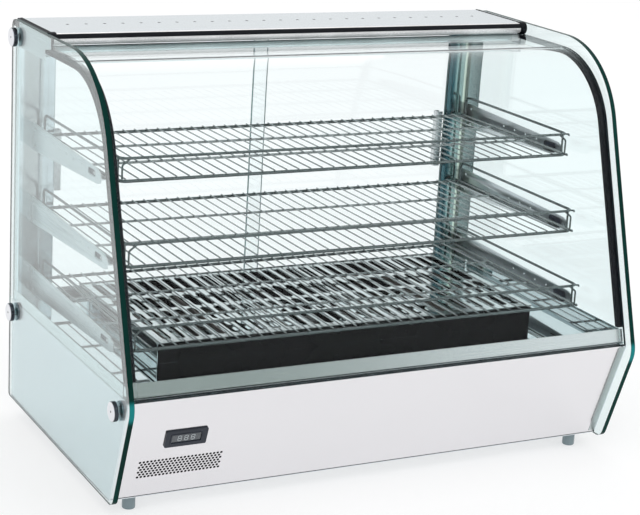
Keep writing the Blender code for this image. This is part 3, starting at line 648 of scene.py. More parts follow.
# =====================================================================  front panel, display, sill
path = open_fillet([(-0.2440, 0.1970), F_TOP, F_BOT, (-0.1790, 0.0270)], 0.0022, 6)
fas = slab("front_panel", ribbon(path, 0.0015), -0.4264, 0.4264, "YZ", (), "steel", 0.0004, 1)
dz, dx, dw, dh = 0.1265, -0.3315, 0.0620, 0.0265
nrm = Vector((0, -math.cos(TILT), -math.sin(TILT)))
holes = []
for r in range(7):
    z = 0.0622 + r * 0.00445
    for c in range(23):
        x = -0.3965 + c * 0.00588 + (0.00294 if r % 2 else 0)
        if c == 22 and r % 2:
            continue
        holes.append((x, fascia_y(z), z))
cbm = prisms(holes, 0.00210, 0.012, nrm, 12)
bmesh.ops.create_cube(cbm, size=1, matrix=Matrix.Translation((dx, fascia_y(dz), dz)) @ Matrix.Rotation(TILT, 4, "X") @ Matrix.Diagonal((0.058, 0.012, 0.0224, 1)))
cut(fas, cbm)
place(fas, "root", "front_fascia", slot="brushed_steel")
# dark box behind the intake, painted shade so that the holes read as holes
liner = slab("intake_liner", round_rect(0, 0, 0.152, 0.042, 0.003), 0.0, 0.010, "XZ", [round_rect(0, 0, 0.146, 0.036, 0.002)], "hole", 0.0004, 1)
# painted shade: a near-black ring lining each hole
hole_shade_rings = bmesh.new()
for hx, hy, hz in holes:
    add_lathe(hole_shade_rings, [(0, 0.0), (0.0019, 0.0), (0.00206, -0.0001), (0.00206, -0.0012), (0, -0.0012)], Matrix.Translation((hx, hy, hz)) @ Matrix.Translation(nrm * -0.0001) @ toward(nrm, (0, 0, 0)), 10)
bmesh.ops.recalc_face_normals(hole_shade_rings, faces=hole_shade_rings.faces)
place(from_bm("intake_hole_shade", hole_shade_rings, "hole", 30), "root", slot="dark_plastic")
# painted shade: near-black plate at the back of the liner
liner_back = slab("intake_back_shade", round_rect(0, 0, 0.1458, 0.0358, 0.002), 0.0060, 0.0098, "XZ", (), "hole", 0.0003, 1)


def lay(ob, x, z, out, pivot=(0, 0)):
    """Lays a piece modelled upright in X and Z on the sloping front panel."""
    ob.data.transform(Matrix.Translation((x, fascia_y(z), z)) @ Matrix.Translation(nrm * out) @ Matrix.Rotation(TILT, 4, "X") @ Matrix.Translation((-pivot[0], 0, -pivot[1])))
    return ob


lay(liner, -0.3305, 0.0755, -0.0018)
lay(liner_back, -0.3305, 0.0755, -0.0018)
place(liner, "root", slot="black_paint")
place(liner_back, "root", slot="black_paint")

bz = slab("display_frame", round_rect(0, 0, dw + 0.004, dh + 0.003, 0.0022), -0.0026, 0.0, "XZ", [round_rect(0, 0, 0.0470, 0.0150, 0.0012)], "plastic", 0.0007, 3, 40)
place(lay(bz, dx, dz, 0.0003), "root", "display_bezel", slot="dark_plastic")
rim = slab("display_rim", round_rect(0, 0, 0.0510, 0.0190, 0.0014), -0.0031, -0.0024, "XZ", [round_rect(0, 0, 0.0474, 0.0154, 0.0010)], "plastic", 0.0003, 2, 40)
place(lay(rim, dx, dz, 0.0003), "root", slot="dark_plastic")
md = slab("display_body", round_rect(0, 0, 0.0540, 0.0195, 0.001), 0.0003, 0.0240, "XZ", (), "plastic", 0.0006, 2, 40)
place(lay(md, dx, dz, 0.0003), "root", "display_module", slot="display_lens")
ln = slab("display_window", round_rect(0, 0, 0.0464, 0.0144, 0.001), -0.0015, 0.0002, "XZ", (), "lens", 0.0003, 2, 40)
place(lay(ln, dx, dz, 0.0003), "root", slot="display_lens")
for i in range(3):
    # unlit number segments behind the window
    cx = -0.0105 + i * 0.0105
    parts = []
    for (ox, oz, w, h) in ((0, 0.0044, 0.0042, 0.0007), (0, 0, 0.0042, 0.0007), (0, -0.0044, 0.0042, 0.0007), (-0.0026, 0.0022, 0.0007, 0.0036), (0.0026, 0.0022, 0.0007, 0.0036),
                           (-0.0026, -0.0022, 0.0007, 0.0036), (0.0026, -0.0022, 0.0007, 0.0036)):
        parts.append(round_rect(cx + ox, oz, w, h, 0.0003, 2))
    bmx = bmesh.new()
    for q in parts:
        seg = slab("seg", q, -0.00165, -0.00140, "XZ", (), "lens", 0, 1, 0)
        bmx.from_mesh(seg.data)
        bpy.data.objects.remove(seg)
    sg = from_bm("display_digit_%d" % (i + 1), bmx, "grey_plastic", 0)
    place(lay(sg, dx, dz, 0.0003), "root", slot="display_lens")

spath = [(-0.2360, DECK_Z + 0.0003), (front_line(DECK_Z, 0.0190), DECK_Z + 0.0003), (front_line(0.2215, 0.0190), 0.2215)]
sill = slab("sill_strip", ribbon(open_fillet(spath, 0.0018, 5), -0.0015), -0.4160, 0.4160, "YZ", (), "steel_sill", 0.0003, 1)
place(sill, "root", "front_sill", slot="brushed_steel")
for side, sx in (("left", -1), ("right", 1)):
    # folded end piece that closes the sill against the side glass
    lo, hi = sorted((sx * 0.4166, sx * 0.4262))
    se = slab("sill_end_" + side, ribbon(open_fillet([(-0.2400, DECK_Z + 0.0004), (front_line(DECK_Z, 0.0192), DECK_Z + 0.0004), (front_line(0.2215, 0.0192), 0.2215)], 0.0018, 5), -0.0014), lo, hi, "YZ", (), "steel_sill", 0.0003, 1)
    place(se, "root", slot="brushed_steel")

# =====================================================================  housing below
for n_ in ("base_chassis", "rear_panel"):
    N[n_].data.materials.clear()
    N[n_].data.materials.append(MAT["steel_base"])
N["cabin_floor"].data.materials.clear()
N["cabin_floor"].data.materials.append(MAT["mirror"])
N["base_chassis"].data.shade_flat()

for tag, fx, fy in (("front_left", -0.394, -0.176), ("front_right", 0.394, -0.176), ("rear_left", -0.394, 0.215), ("rear_right", 0.394, 0.215)):
    prof = [(0, 0.0247), (0.0096, 0.0247), (0.0100, 0.0243), (0.0100, 0.0034), (0.0097, 0.0028), (0, 0.0028)]
    f = lathe("foot_body_" + tag, prof, Matrix.Translation((fx, fy, 0)), "foot", 40)
    place(f, "root", "foot_" + tag, slot="foot_grey")
    prof = [(0, 0.0030), (0.0095, 0.0030), (0.0099, 0.0026), (0.0097, 0.0010), (0.0088, 0.0001), (0.0080, 0.0), (0.0050, 0.0), (0.0045, 0.0006), (0, 0.0006)]
    place(lathe("foot_pad_" + tag, prof, Matrix.Translation((fx, fy, 0)), "foot", 40), "root", slot="foot_grey")

for side, sx in (("left", -1), ("right", 1)):
    # upturned side of the polished cabin floor, against the side glass
    lo, hi = sorted((sx * 0.4266, sx * 0.4279))
    place(slab("tray_side_" + side, fillet([(-0.2390, DECK_Z + 0.0003, 0), (0.2340, DECK_Z + 0.0003, 0), (0.2340, 0.2190, 0.002), (-0.2390, 0.2190, 0.003)], 4), lo, hi, "YZ", (), "mirror", 0.0002, 1), "root", slot="polished_steel")
# trim that closes the right end of the front panel against the glass
place(slab("panel_end_trim", [(fascia_y(0.1950) - 0.0009, 0.1950), (fascia_y(0.0300) - 0.0009, 0.0300), (fascia_y(0.0300) - 0.0001, 0.0300), (fascia_y(0.1950) - 0.0001, 0.1950)], 0.4150, 0.4262, "YZ", (), "end_strip", 0.0002, 1),
      "root", slot="brushed_steel")

# =====================================================================  heater box and cover
hb = slab("heater_casing", round_rect(0, 0.0400, 0.664, 0.320, 0.003), DECK_Z + 0.0003, 0.2312, "XY", [round_rect(0, 0.0400, 0.661, 0.317, 0.0015)], ["black", "mirror"], 0.0003, 1)
for p in hb.data.polygons:
    if abs(p.normal.x) > 0.8:
        p.material_index = 1
place(hb, "root", "heater_box", slot="black_paint")
sl = []
for y0, y1 in ((-0.108, -0.046), (-0.036, 0.026), (0.036, 0.098), (0.108, 0.186)):
    for i in range(28):
        x = -0.3105 + i * 0.023
        sl.append(round_rect(x, (y0 + y1) / 2, 0.0150, y1 - y0, 0.0074, 5))
hc = slab("heater_lid", round_rect(0, 0.0400, 0.668, 0.324, 0.004), 0.2315, 0.2330, "XY", sl, "cover", 0.0003, 1)
place(hc, "root", "heater_cover", slot="polished_steel")
N["heating_element"].data.materials.clear()
N["heating_element"].data.materials.append(MAT["element"])
for n_ in ("fan_frame", "fan_rotor"):
    N[n_].data.materials.clear()
    N[n_].data.materials.append(MAT["black"])
N["terminal_block"].data.materials.clear()
N["terminal_block"].data.materials.append(MAT["grey_plastic"])

# =====================================================================  posts, tracks, doors
for side, sx in (("left", -1), ("right", 1)):
    p = open_fillet([(0.3660, 0.2580), (0.3660, 0.2360), (0.4264, 0.2360), (0.4264, 0.2580)], 0.0024, 6)
    out = [(sx * a, b) for a, b in ribbon(p, 0.0015)]
    post = slab("post_" + side, out, DECK_Z + 0.0003, 0.6478, "XY", (), "post_" + side, 0.0003, 1)
    place(post, "root", "rear_post_" + side, slot="brushed_steel")
    # folded stile in front of the post; its bright edge is a painted highlight from the post's banded colour
    st = [(sx * a, b) for a, b in ribbon(open_fillet([(0.3790, 0.2357), (0.3790, 0.2318), (0.3925, 0.2318), (0.3925, 0.2357)], 0.0012, 4), 0.0010)]
    stile = slab("post_stile_" + side, st, DECK_Z + 0.0006, 0.6200, "XY", (), "post_" + side, 0.0002, 1)
    place(stile, "root", slot="brushed_steel")


def track(name, z_web, z_lip, node_name):
    ys = (0.2385, 0.2400, 0.2478, 0.2492, 0.2565, 0.2579)
    w = 0.0015 if z_lip > z_web else -0.0015
    pts = [(ys[0], z_web), (ys[0], z_lip), (ys[1], z_lip), (ys[1], z_web + w), (ys[2], z_web + w), (ys[2], z_lip), (ys[3], z_lip), (ys[3], z_web + w), (ys[4], z_web + w), (ys[4], z_lip), (ys[5], z_lip), (ys[5], z_web)]
    t = slab(name, pts, -0.3657, 0.3657, "YZ", (), "alu", 0.0002, 1)
    place(t, "root", node_name, slot="aluminium")


track("track_lower", DECK_Z + 0.0003, 0.2120, "door_track_bottom")
track("track_upper", 0.6400, 0.6285, "door_track_top")
for side, (x0, x1), y0 in (("left", (-0.3655, 0.0040), 0.2414), ("right", (-0.0180, 0.3655), 0.2504)):
    body = "door_" + side
    d = slab("door_pane_" + side, fillet([(x0, 0.2045, 0.003), (x1, 0.2045, 0.003), (x1, 0.6340, 0.003), (x0, 0.6340, 0.003)], 4), y0, y0 + 0.005, "XZ", (), ["door_glass", "edge_pale"], 0.0005, 1, 30, 1)
    place(d, body, "door_" + side, slot="door_glass")
    hx0, hx1 = (x0 + 0.0030, x0 + 0.0150) if side == "left" else (x1 - 0.0150, x1 - 0.0030)
    y = y0 + 0.0053
    dep = 0.0160 if side == "left" else 0.0140
    back, lipx = (hx1, hx0) if side == "left" else (hx0, hx1)
    k = -1 if side == "left" else 1
    cen = [(lipx, y + 0.0014), (back + k * 0.0018, y + 0.0014), (back + k * 0.0018, y + dep - 0.0015), (lipx, y + dep - 0.0015)]
    o = ribbon(open_fillet(cen, 0.0016, 5), 0.0014) if k > 0 else ribbon(open_fillet(cen[::-1], 0.0016, 5), 0.0014)
    h = slab("door_pull_" + side, o, 0.380, 0.480, "XY", (), "alu_v", 0.0004, 2)
    place(h, body, "door_handle_" + side, slot="aluminium")

# =====================================================================  roof
NR, NY, PT = 0.0090, 0.1070, 0.6600
nc = (NY + NR, PT - NR)
nose = [(nc[0] + NR * math.cos(a), nc[1] + NR * math.sin(a)) for a in [math.pi / 2 + math.pi * i / 28 for i in range(29)]]
rpath = fillet([(REAR_Y, 0.6408, 0), (REAR_Y, PT, 0.002, 5), (nose[0][0] + 0.02, PT, 0)])[:-1] + nose + [(NY + 0.0300, nc[1] - NR)]
roof = slab("roof_sheet", ribbon(rpath, 0.0015), -0.4200, 0.4200, "YZ", (), ["roof", "nose"], 0.0003, 1)
cut(roof, prisms([(-0.3700 + i * 0.7400 / 24, 0.1930, PT) for i in range(25)], 0.0027, 0.01, (0, 0, 1), 14))
for p in roof.data.polygons:
    c = p.center
    if c.y < NY + NR and p.normal.y < 0.2:
        p.material_index = 1
place(roof, "root", "roof_plate", slot="brushed_steel")
# small dark plugs in the row of holes: painted shade inside them
bmx = bmesh.new()
for i in range(25):
    add_lathe(bmx, [(0, 0.0), (0.0024, 0.0), (0.00265, -0.0002), (0.00265, -0.0013), (0, -0.0013)], Matrix.Translation((-0.3700 + i * 0.7400 / 24, 0.1930, PT - 0.0001)), 14)
bmesh.ops.recalc_face_normals(bmx, faces=bmx.faces)
place(from_bm("roof_hole_shade_plugs", bmx, "hole", 30), "root", slot="dark_plastic")
# dark strip along the upper half of the nose, a painted reflection standing in for the dark band the rolled nose
# mirrors
arc = [(nc[0] + (NR + 0.0002) * math.cos(a), nc[1] + (NR + 0.0002) * math.sin(a)) for a in [math.radians(d) for d in range(122, 171, 4)]]
ns = slab("roof_nose_reflection_strip", ribbon(arc, -0.0005), -0.4198, 0.4198, "YZ", (), "rubber", 0.0, 1)
place(ns, "root", slot="seal_rubber")
for side, sx in (("left", -1), ("right", 1)):
    prof = [(REAR_Y, 0.6485), (REAR_Y, PT + 0.0005)] + [(a - 0.0005, b + 0.0005 if b > nc[1] else b) for a, b in nose] + [(0.1180, nc[1] - NR), (0.1180, 0.6485)]
    lo, hi = sorted((sx * 0.4203, sx * 0.4232))
    rs = slab("roof_end_seal_" + side, prof, lo, hi, "YZ", (), "rubber", 0.0004, 2)
    place(rs, "root", "roof_seal_" + side, slot="seal_rubber")
    lo, hi = sorted((sx * 0.4233, sx * 0.4282))
    prof = [(REAR_Y - 0.0004, 0.6485), (REAR_Y - 0.0004, PT + 0.0001), (0.1130, PT + 0.0001), (0.1130, 0.6520), (0.1180, 0.6485)]
    place(slab("roof_end_fill_" + side, prof, lo, hi, "YZ", (), "rubber" if sx < 0 else "fill", 0.0004, 2), "root", slot="brushed_steel")
    # moulded end cap over the rounded nose
    lo, hi = sorted((sx * 0.4165, sx * 0.4283))
    cp_path = [(nc[0] + 0.004, PT + 0.0003)] + [(nc[0] + (NR + 0.0003) * math.cos(a), nc[1] + (NR + 0.0003) * math.sin(a)) for a in [math.pi / 2 + math.pi * i / 20 for i in range(21)]] + [(nc[0] + 0.001, nc[1] - NR - 0.0003)]
    ec = slab("roof_end_cap_" + side, ribbon(cp_path, -0.0012), lo, hi, "YZ", (), "rubber", 0.0005, 2)
    place(ec, "root", slot="seal_rubber")
    lo, hi = sorted((sx * 0.4249, sx * 0.4264))
    rb = slab("roof_side_sheet_" + side, fillet([(0.1185, 0.6180, 0.002), (0.2355, 0.6180, 0.001), (0.2355, 0.6480, 0.001), (0.1185, 0.6480, 0.001)], 4), lo, hi, "YZ", (), "steel_arm", 0.0003, 1)
    place(rb, "root", "roof_bracket_" + side, slot="brushed_steel")
    # thin front tongue of that sheet, lying against the side glass
    lo, hi = sorted((sx * 0.42826, sx * 0.42846))
    if sx < 0:
        place(slab("roof_side_tongue_" + side, fillet([(0.0860, 0.6400, 0.002), (0.2340, 0.6180, 0.001), (0.2340, 0.6590, 0.0), (0.0860, 0.6570, 0.002)], 4), lo, hi, "YZ", (), "steel_arm", 0.0, 1, 0), "root", slot="brushed_steel")
    for yy in (0.130, 0.210):
        sc = lathe("roof_screw_%s_%d" % (side, round(yy * 1000)), [(0, 0.0010), (0.0008, 0.0010), (0.0010, 0.0014), (0.0022, 0.0013), (0.0026, 0.0007), (0.0028, 0), (0, 0)], toward((sx, 0, 0), (sx * 0.4264, yy, 0.6360)), "screw", 20)
        place(sc, "root", slot="brushed_steel")

LY, LZ = 0.1260, 0.6300
prof = [(0.0075, 0.4070), (0.0075, -0.4070), (0.0063, -0.4070), (0.0063, 0.4070)]
bmx = bmesh.new()
steps = 40
rings = [[bmx.verts.new((h, LY + r * math.cos(2 * math.pi * k / steps), LZ + r * math.sin(2 * math.pi * k / steps))) for k in range(steps)] for r, h in prof]
for a in range(4):
    for k in range(steps):
        bmx.faces.new((rings[a][k], rings[a][(k + 1) % steps], rings[(a + 1) % 4][(k + 1) % steps], rings[(a + 1) % 4][k]))
bmesh.ops.recalc_face_normals(bmx, faces=bmx.faces)
lc = from_bm("lamp_guard_tube", bmx, "cover_tube", 40)
place(lc, "root", "lamp_cover", slot="lamp_cover")
prof = [(0, 0.4246), (0.0068, 0.4246), (0.0075, 0.4239), (0.0075, 0.4080), (0.0071, 0.4073), (0.0050, 0.4073), (0.0050, 0.4040), (0.0038, 0.4036), (0.0038, -0.4036), (0.0050, -0.4040), (0.0050, -0.4073), (0.0071, -0.4073),
        (0.0075, -0.4080), (0.0075, -0.4239), (0.0068, -0.4246), (0, -0.4246)]
lt = lathe("lamp_stick", prof, toward((1, 0, 0), (0, LY, LZ)), "lamp", 32)
place(lt, "root", "lamp_tube", slot="lamp_white")

# =====================================================================  shelves
for tag, z, yf in LEVELS:
    body = "shelf_" + tag
    R, r, q = 0.0026, 0.00115, 0.0020
    x1, y1 = SHW - R, SHR - R
    y0 = yf + R
    items = []
    loop = bend3([(-x1 + 0.02, y0, z), (x1, y0, z), (x1, y1, z), (-x1, y1, z), (-x1, y0, z), (-x1 + 0.02, y0, z)], 0.010, 6)
    items.append((loop, R, 12, False, False))
    zw = z + R + r - 0.0003
    n = 39
    for i in range(n):
        x = -0.3820 + i * 0.7640 / (n - 1)
        items.append(([(x, y0 - 0.0012, zw), (x, y1 + 0.0012, zw)], r, 8))
    for f in (0.34, 0.68):
        y = y0 + (y1 - y0) * f
        items.append(([(-x1, y, zw - r - q + 0.0003), (x1, y, zw - r - q + 0.0003)], q, 10))
    dk = rods("shelf_wires_" + tag, items[1:], "wire")
    place(dk, body, "shelf_deck_" + tag, slot="chromed_wire")
    fr = rods("shelf_frame_" + tag, items[:1], "rod")
    place(fr, body, slot="chromed_wire")
    zr = z + 0.034
    q = 0.00215
    rx = SHW - 0.0030
    items = []
    rail = bend3([(-rx, SHR - 0.004, z + 0.002), (-rx, SHR - 0.004, zr), (-rx, yf + 0.003, zr), (rx, yf + 0.003, zr), (rx, SHR - 0.004, zr), (rx, SHR - 0.004, z + 0.002)], [0, 0.010, 0.011, 0.011, 0.010, 0], 7)
    items.append((rail, q, 12))
    for k in (-1, 1):
        x = k * rx
        items.append((bend3([(x, yf + 0.0150, zr - 0.001), (x, yf + 0.0150, z + 0.0005), (x, yf + 0.0010, z + 0.0002)], 0.004, 5), 0.0017, 10))
        items.append((bend3([(k * (rx - 0.014), yf + 0.0030, zr - 0.001), (k * (rx - 0.002), yf + 0.0030, zr - 0.010), (k * (rx - 0.002), yf + 0.0030, z + 0.001)], 0.006, 5), 0.0015, 10))
        for zz in (zr, z + 0.0005):
            items.append((bend3([(k * (rx - 0.001), yf + 0.0050, zz), (k * (rx + 0.0045), yf + 0.0050, zz - 0.0005), (k * (rx + 0.0058), yf + 0.0062, zz - 0.0030)], 0.002, 4), 0.0015, 10))
    rl = rods("shelf_guard_" + tag, items, "rod")
    place(rl, body, "shelf_rail_" + tag, slot="chromed_wire")
    for side, sx in (("left", -1), ("right", 1)):
        zt = z - 0.0035
        af = yf + 0.031
        web = fillet([(0.2355, zt - 0.0220, 0.001, 2), (0.2355, z + 0.0190, 0.001, 2), (0.2150, z + 0.0190, 0.004, 4), (af + 0.014, z + 0.0110, 0.010, 5), (af, z + 0.0060, 0.003, 4), (af, zt - 0.0050, 0.002, 3), (af + 0.012, zt - 0.0085, 0.006, 4)])
        lo, hi = sorted((sx * 0.4020, sx * 0.4035))
        hl = [round_rect(af + 0.036, z + 0.0005, 0.030, 0.0105, 0.0045)] + [circle(af + 0.078 + 0.034 * i, z + 0.003, 0.0017, 16) for i in range(4)] + [circle(0.222, z + 0.011, 0.0022, 16), circle(0.222, zt - 0.013, 0.0022, 16)]
        arm = slab("arm_%s_%s" % (tag, side), web, lo, hi, "YZ", hl, "steel_arm", 0.0003, 1)
        # locking hook and its screw, seen in the window of the arm
        wo = sx * 0.4012
        lo2, hi2 = sorted((wo, wo - sx * 0.0012))
        wp = slab("arm_window_%s_%s" % (tag, side), round_rect(af + 0.036, z + 0.0005, 0.0335, 0.0135, 0.0055), lo2, hi2, "YZ", (), "plastic", 0.0003, 2)
        place(wp, "root", slot="dark_plastic")
        ws = lathe("arm_screw_%s_%s" % (tag, side), [(0, 0.0004), (0.0010, 0.0004), (0.0013, 0.0009), (0.0026, 0.0008), (0.0030, 0.0003), (0.0031, -0.0004), (0, -0.0004)], toward((sx, 0, 0), (sx * 0.4016, af + 0.0290, z + 0.0005)), "screw", 24)
        place(ws, "root", slot="brushed_steel")
        bmx = bmesh.new()
        bmx.from_mesh(arm.data)
        lp = slab("lipx", fillet([(sx * 0.3840, 0.2350, 0.002), (sx * 0.4030, 0.2350, 0.0), (sx * 0.4030, af + 0.004, 0.0), (sx * 0.3840, af + 0.004, 0.004)], 4), zt - 0.0015, zt, "XY", (), "steel_arm", 0.0003, 1)
        bmx.from_mesh(lp.data)
        bpy.data.objects.remove(lp)
        bmx.to_mesh(arm.data)
        bmx.free()
        shade(arm)
        place(arm, "root", "shelf_bracket_%s_%s" % (tag, side), slot="brushed_steel")

# =====================================================================  rear controls
cpl = slab("control_panel", round_rect(0.240, 0.115, 0.236, 0.104, 0.006), 0.2541, 0.2561, "XZ", [circle(0.185, 0.115, 0.0042, 24), round_rect(0.255, 0.115, 0.0180, 0.0290, 0.001), round_rect(0.305, 0.115, 0.0180, 0.0290, 0.001)],
           "steel", 0.0005, 2)
place(cpl, "root", "control_plate", slot="brushed_steel")
for tag, x in (("power", 0.255), ("light", 0.305)):
    fr = slab("switch_frame_" + tag, round_rect(x, 0.115, 0.0225, 0.0340, 0.002), 0.2561, 0.2571, "XZ", [round_rect(x, 0.115, 0.0172, 0.0282, 0.001)], "plastic", 0.0004, 2)
    place(fr, "root", slot="dark_plastic")
    prof = fillet([(-0.0050, -0.0120, 0.0005, 2), (-0.0050, 0.0120, 0.0005, 2), (0.0040, 0.0125, 0.0012, 4), (0.0022, 0.0, 0.030, 5), (0.0040, -0.0125, 0.0012, 4)])
    rk = slab("rocker_" + tag, prof, x - 0.0080, x + 0.0080, "YZ", (), "plastic", 0.0005, 2)
    rk.data.transform(Matrix.Translation((0, 0.2550, 0.115)) @ Matrix.Rotation(math.radians(-7), 4, "X"))
    place(rk, tag + "_switch", tag + "_switch", slot="dark_plastic")
    mk = slab("rocker_mark_" + tag, round_rect(x, 0, 0.0022, 0.0040, 0.0009), 0.0, 0.0003, "XZ", (), "grey_plastic", 0.0, 1, 0)
    mk.data.transform(Matrix.Translation((0, 0.2550, 0.115)) @ Matrix.Rotation(math.radians(-7), 4, "X") @ Matrix.Translation((0, 0.00345, 0.0072)) @ Matrix.Rotation(math.radians(-7.5), 4, "X"))
    place(mk, tag + "_switch", slot="dark_plastic")
    pl = lathe("pilot_" + tag, [(0, 0.0030), (0.0016, 0.0028), (0.0026, 0.0018), (0.0030, 0.0006), (0.0036, 0.0006), (0.0038, 0.0), (0, 0.0)], toward((0, 1, 0), (x, 0.2561, 0.1455)), "amber" if tag == "power" else "green", 28)
    place(pl, "root", slot="dark_plastic")
kp = [(0, 0.0158), (0.0090, 0.0158), (0.0104, 0.0154), (0.0112, 0.0144), (0.0128, 0.0040), (0.0134, 0.0034), (0.0176, 0.0026), (0.0180, 0.0020), (0.0180, 0.0006), (0.0176, 0.0003), (0.0030, 0.0003), (0.0030, -0.0120), (0, -0.0120)]
kn = lathe("knob_body", kp, toward((0, 1, 0), (0.185, 0.2564, 0.115)), "plastic", 56, 25)
place(kn, "thermostat_knob", "thermostat_knob", slot="dark_plastic")
bmx = bmesh.new()
for i in range(24):
    a = 2 * math.pi * i / 24
    add_tube(bmx, [(0.185 + 0.0117 * math.cos(a), 0.2710, 0.115 + 0.0117 * math.sin(a)), (0.185 + 0.0129 * math.cos(a), 0.2610, 0.115 + 0.0129 * math.sin(a))], 0.0007, 8)
bmesh.ops.recalc_face_normals(bmx, faces=bmx.faces)
place(from_bm("knob_ribs", bmx, "plastic"), "thermostat_knob", slot="dark_plastic")
kb = slab("knob_pointer", round_rect(0.185, 0.1215, 0.0022, 0.0105, 0.0009), 0.2716, 0.2730, "XZ", (), "grey_plastic", 0.0003, 2)
place(kb, "thermostat_knob", slot="dark_plastic")
bmx = bmesh.new()
for i in range(11):
    a = math.radians(90 - 0) - math.radians(27) * i
    c, s_ = math.cos(a), math.sin(a)
    big = i % 5 == 0
    t = slab("tick", round_rect(0, 0, 0.0009 if not big else 0.0014, 0.0035 if not big else 0.0050, 0.0003, 1), 0.0, 0.00025, "XZ", (), "mark", 0, 1, 0)
    t.data.transform(Matrix.Translation((0.185 - c * 0.0225, 0.2561, 0.115 + s_ * 0.0225)) @ Matrix.Rotation(a - math.pi / 2, 4, "Y"))
    bmx.from_mesh(t.data)
    bpy.data.objects.remove(t)
place(from_bm("dial_ticks", bmx, "mark", 0), "root", slot="dark_plastic")
N["power_inlet"].data.materials.clear()
N["power_inlet"].data.materials.append(MAT["plastic"])
for i, (x, z) in enumerate([(x, z) for x in (-0.415, -0.140, 0.100, 0.415) for z in (0.045, 0.185)] + [(0.132, 0.073), (0.348, 0.073), (0.132, 0.157), (0.348, 0.157)]):
    y = 0.2538 if i < 8 else 0.2561
    sc = lathe("rear_screw_%02d" % (i + 1), [(0, 0.0008), (0.0009, 0.0008), (0.0013, 0.0021), (0.0024, 0.0020), (0.0034, 0.0011), (0.0037, 0.0), (0, 0.0)], toward((0, 1, 0), (x, y, z)), "screw", 24)
    place(sc, "root", slot="brushed_steel")
for i in range(7):
    # pressed hood over each louvre slot of the rear panel
    z = 0.060 + 0.016 * i
    bmx = bmesh.new()
    prof = [(0.2540, z - 0.0040), (0.2562, z - 0.0036), (0.2572, z - 0.0010), (0.2562, z + 0.0030), (0.2541, z + 0.0058)]
    n = 13
    grid = []
    for j in range(n + 1):
        f = j / n
        x = -0.200 + 0.240 * f
        e = min(1.0, math.sin(math.pi * f) * 4.5)
        grid.append([bmx.verts.new((x, 0.2540 + (y - 0.2540) * max(e, 0.04), zz)) for y, zz in prof])
    for a, b in zip(grid, grid[1:]):
        for k in range(len(prof) - 1):
            bmx.faces.new((a[k], b[k], b[k + 1], a[k + 1]))
    bmesh.ops.recalc_face_normals(bmx, faces=bmx.faces)
    lv = from_bm("louvre_hood_%d" % (i + 1), bmx, "steel_base", 60)
    m = lv.modifiers.new("t", "SOLIDIFY")
    m.thickness = 0.0008
    m.offset = 1
    apply_mods(lv)
    shade(lv, 40)
    place(lv, "root", slot="brushed_steel")

# =====================================================================  stage, light, camera
bm = bmesh.new()
bmesh.ops.create_grid(bm, x_segments=2, y_segments=2, size=40)
floor = from_bm("stage_floor", bm, [], 0)
fm, nt, b = new_mat("stage_white")
nt.links.new(ramp(nt, noise(nt, coords(nt, (0.6, 0.6, 0.6))), (0.44, 0.44, 0.443), (0.46, 0.46, 0.46)), b.inputs["Base Color"])
b.inputs["Roughness"].default_value = 0.75
b.inputs["Specular IOR Level"].default_value = 0.1
b.inputs["Emission Color"].default_value = (1, 1, 1, 1)
b.inputs["Emission Strength"].default_value = 0.56
floor.data.materials.append(fm)

w = bpy.data.worlds.new("studio")
S.world = w
w.use_nodes = True
wn = w.node_tree
bg = wn.nodes["Background"]
tc = wn.nodes.new("ShaderNodeTexCoord")
sep = wn.nodes.new("ShaderNodeSeparateXYZ")
rp = wn.nodes.new("ShaderNodeValToRGB")
wn.links.new(tc.outputs["Generated"], sep.inputs[0])
mr = wn.nodes.new("ShaderNodeMapRange")
mr.inputs["From Min"].default_value = -1
mr.inputs["From Max"].default_value = 1
wn.links.new(sep.outputs["Z"], mr.inputs["Value"])
wn.links.new(mr.outputs["Result"], rp.inputs["Fac"])
e = rp.color_ramp.elements
e[0].position = 0.0
e[0].color = (0.90, 0.92, 0.94, 1)
e[1].position = 1.0
e[1].color = (1.0, 1.0, 1.0, 1)
x = rp.color_ramp.elements.new(0.5)
x.color = (0.90, 0.935, 0.95, 1)
wn.links.new(rp.outputs["Color"], bg.inputs["Color"])
bg.inputs["Strength"].default_value = 0.97
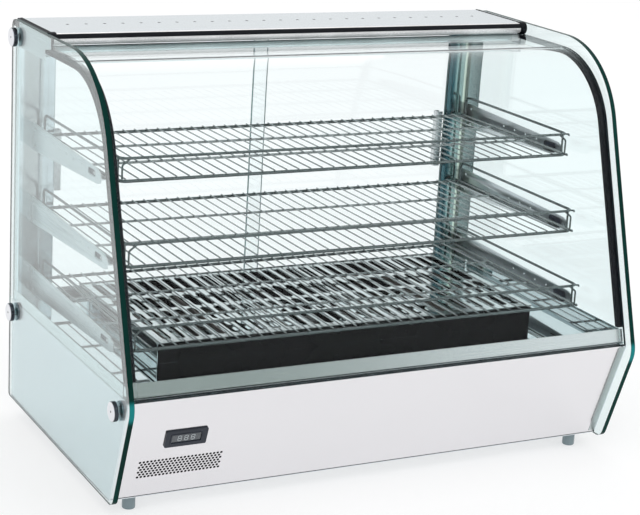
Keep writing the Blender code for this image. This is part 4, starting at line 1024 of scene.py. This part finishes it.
# the backdrop itself is plain white; what the object mirrors is the softer sky above
plain = wn.nodes.new("ShaderNodeBackground")
plain.inputs["Color"].default_value = (1, 1, 1, 1)
plain.inputs["Strength"].default_value = 1.05
wmix = wn.nodes.new("ShaderNodeMixShader")
wlp = wn.nodes.new("ShaderNodeLightPath")
wn.links.new(wlp.outputs["Is Camera Ray"], wmix.inputs[0])
wn.links.new(bg.outputs["Background"], wmix.inputs[1])
wn.links.new(plain.outputs["Background"], wmix.inputs[2])
wn.links.new(wmix.outputs["Shader"], wn.nodes["World Output"].inputs["Surface"])


def area(name, loc, target, size, power, col=(1, 1, 1)):
    l = bpy.data.lights.new(name, "AREA")
    l.shape = "RECTANGLE"
    l.size, l.size_y = size
    l.energy = power
    l.color = col
    o = bpy.data.objects.new(name, l)
    o.location = loc
    o.rotation_euler = (Vector(target) - Vector(loc)).to_track_quat("-Z", "Y").to_euler()
    S.collection.objects.link(o)
    return o


area("key_soft", (-1.4, -2.6, 3.0), (0, 0, 0.3), (2.4, 2.0), 14)
area("fill_soft", (2.6, -1.6, 2.0), (0, 0, 0.3), (2.0, 2.0), 8)
area("back_soft", (0.4, 2.8, 2.6), (0, 0, 0.4), (3.0, 1.6), 8)

f_px, ppx, ppy = 1873.8, 321.3, 280.0
yaw, pitch, roll = math.radians(28.142), math.radians(16.49), math.radians(3.435)
fw = Vector((math.sin(yaw) * math.cos(pitch), math.cos(yaw) * math.cos(pitch), -math.sin(pitch)))
rt = fw.cross(Vector((0, 0, 1))).normalized()
up = rt.cross(fw)
r2 = rt * math.cos(roll) + up * math.sin(roll)
u2 = up * math.cos(roll) - rt * math.sin(roll)
cam = bpy.data.cameras.new("camera")
cam.sensor_fit = "HORIZONTAL"
cam.sensor_width = 36
cam.lens = f_px / 640 * 36
cam.shift_x = (320 - ppx) / 640
cam.shift_y = (ppy - 257.5) / 640
cam.clip_end = 200
co = bpy.data.objects.new("camera", cam)
mw = Matrix((r2, u2, -fw)).transposed().to_4x4()
mw.translation = (-1.3715, -2.5673, 1.1302)
co.matrix_world = mw
S.collection.objects.link(co)
S.camera = co
S.view_settings.view_transform = "Standard"
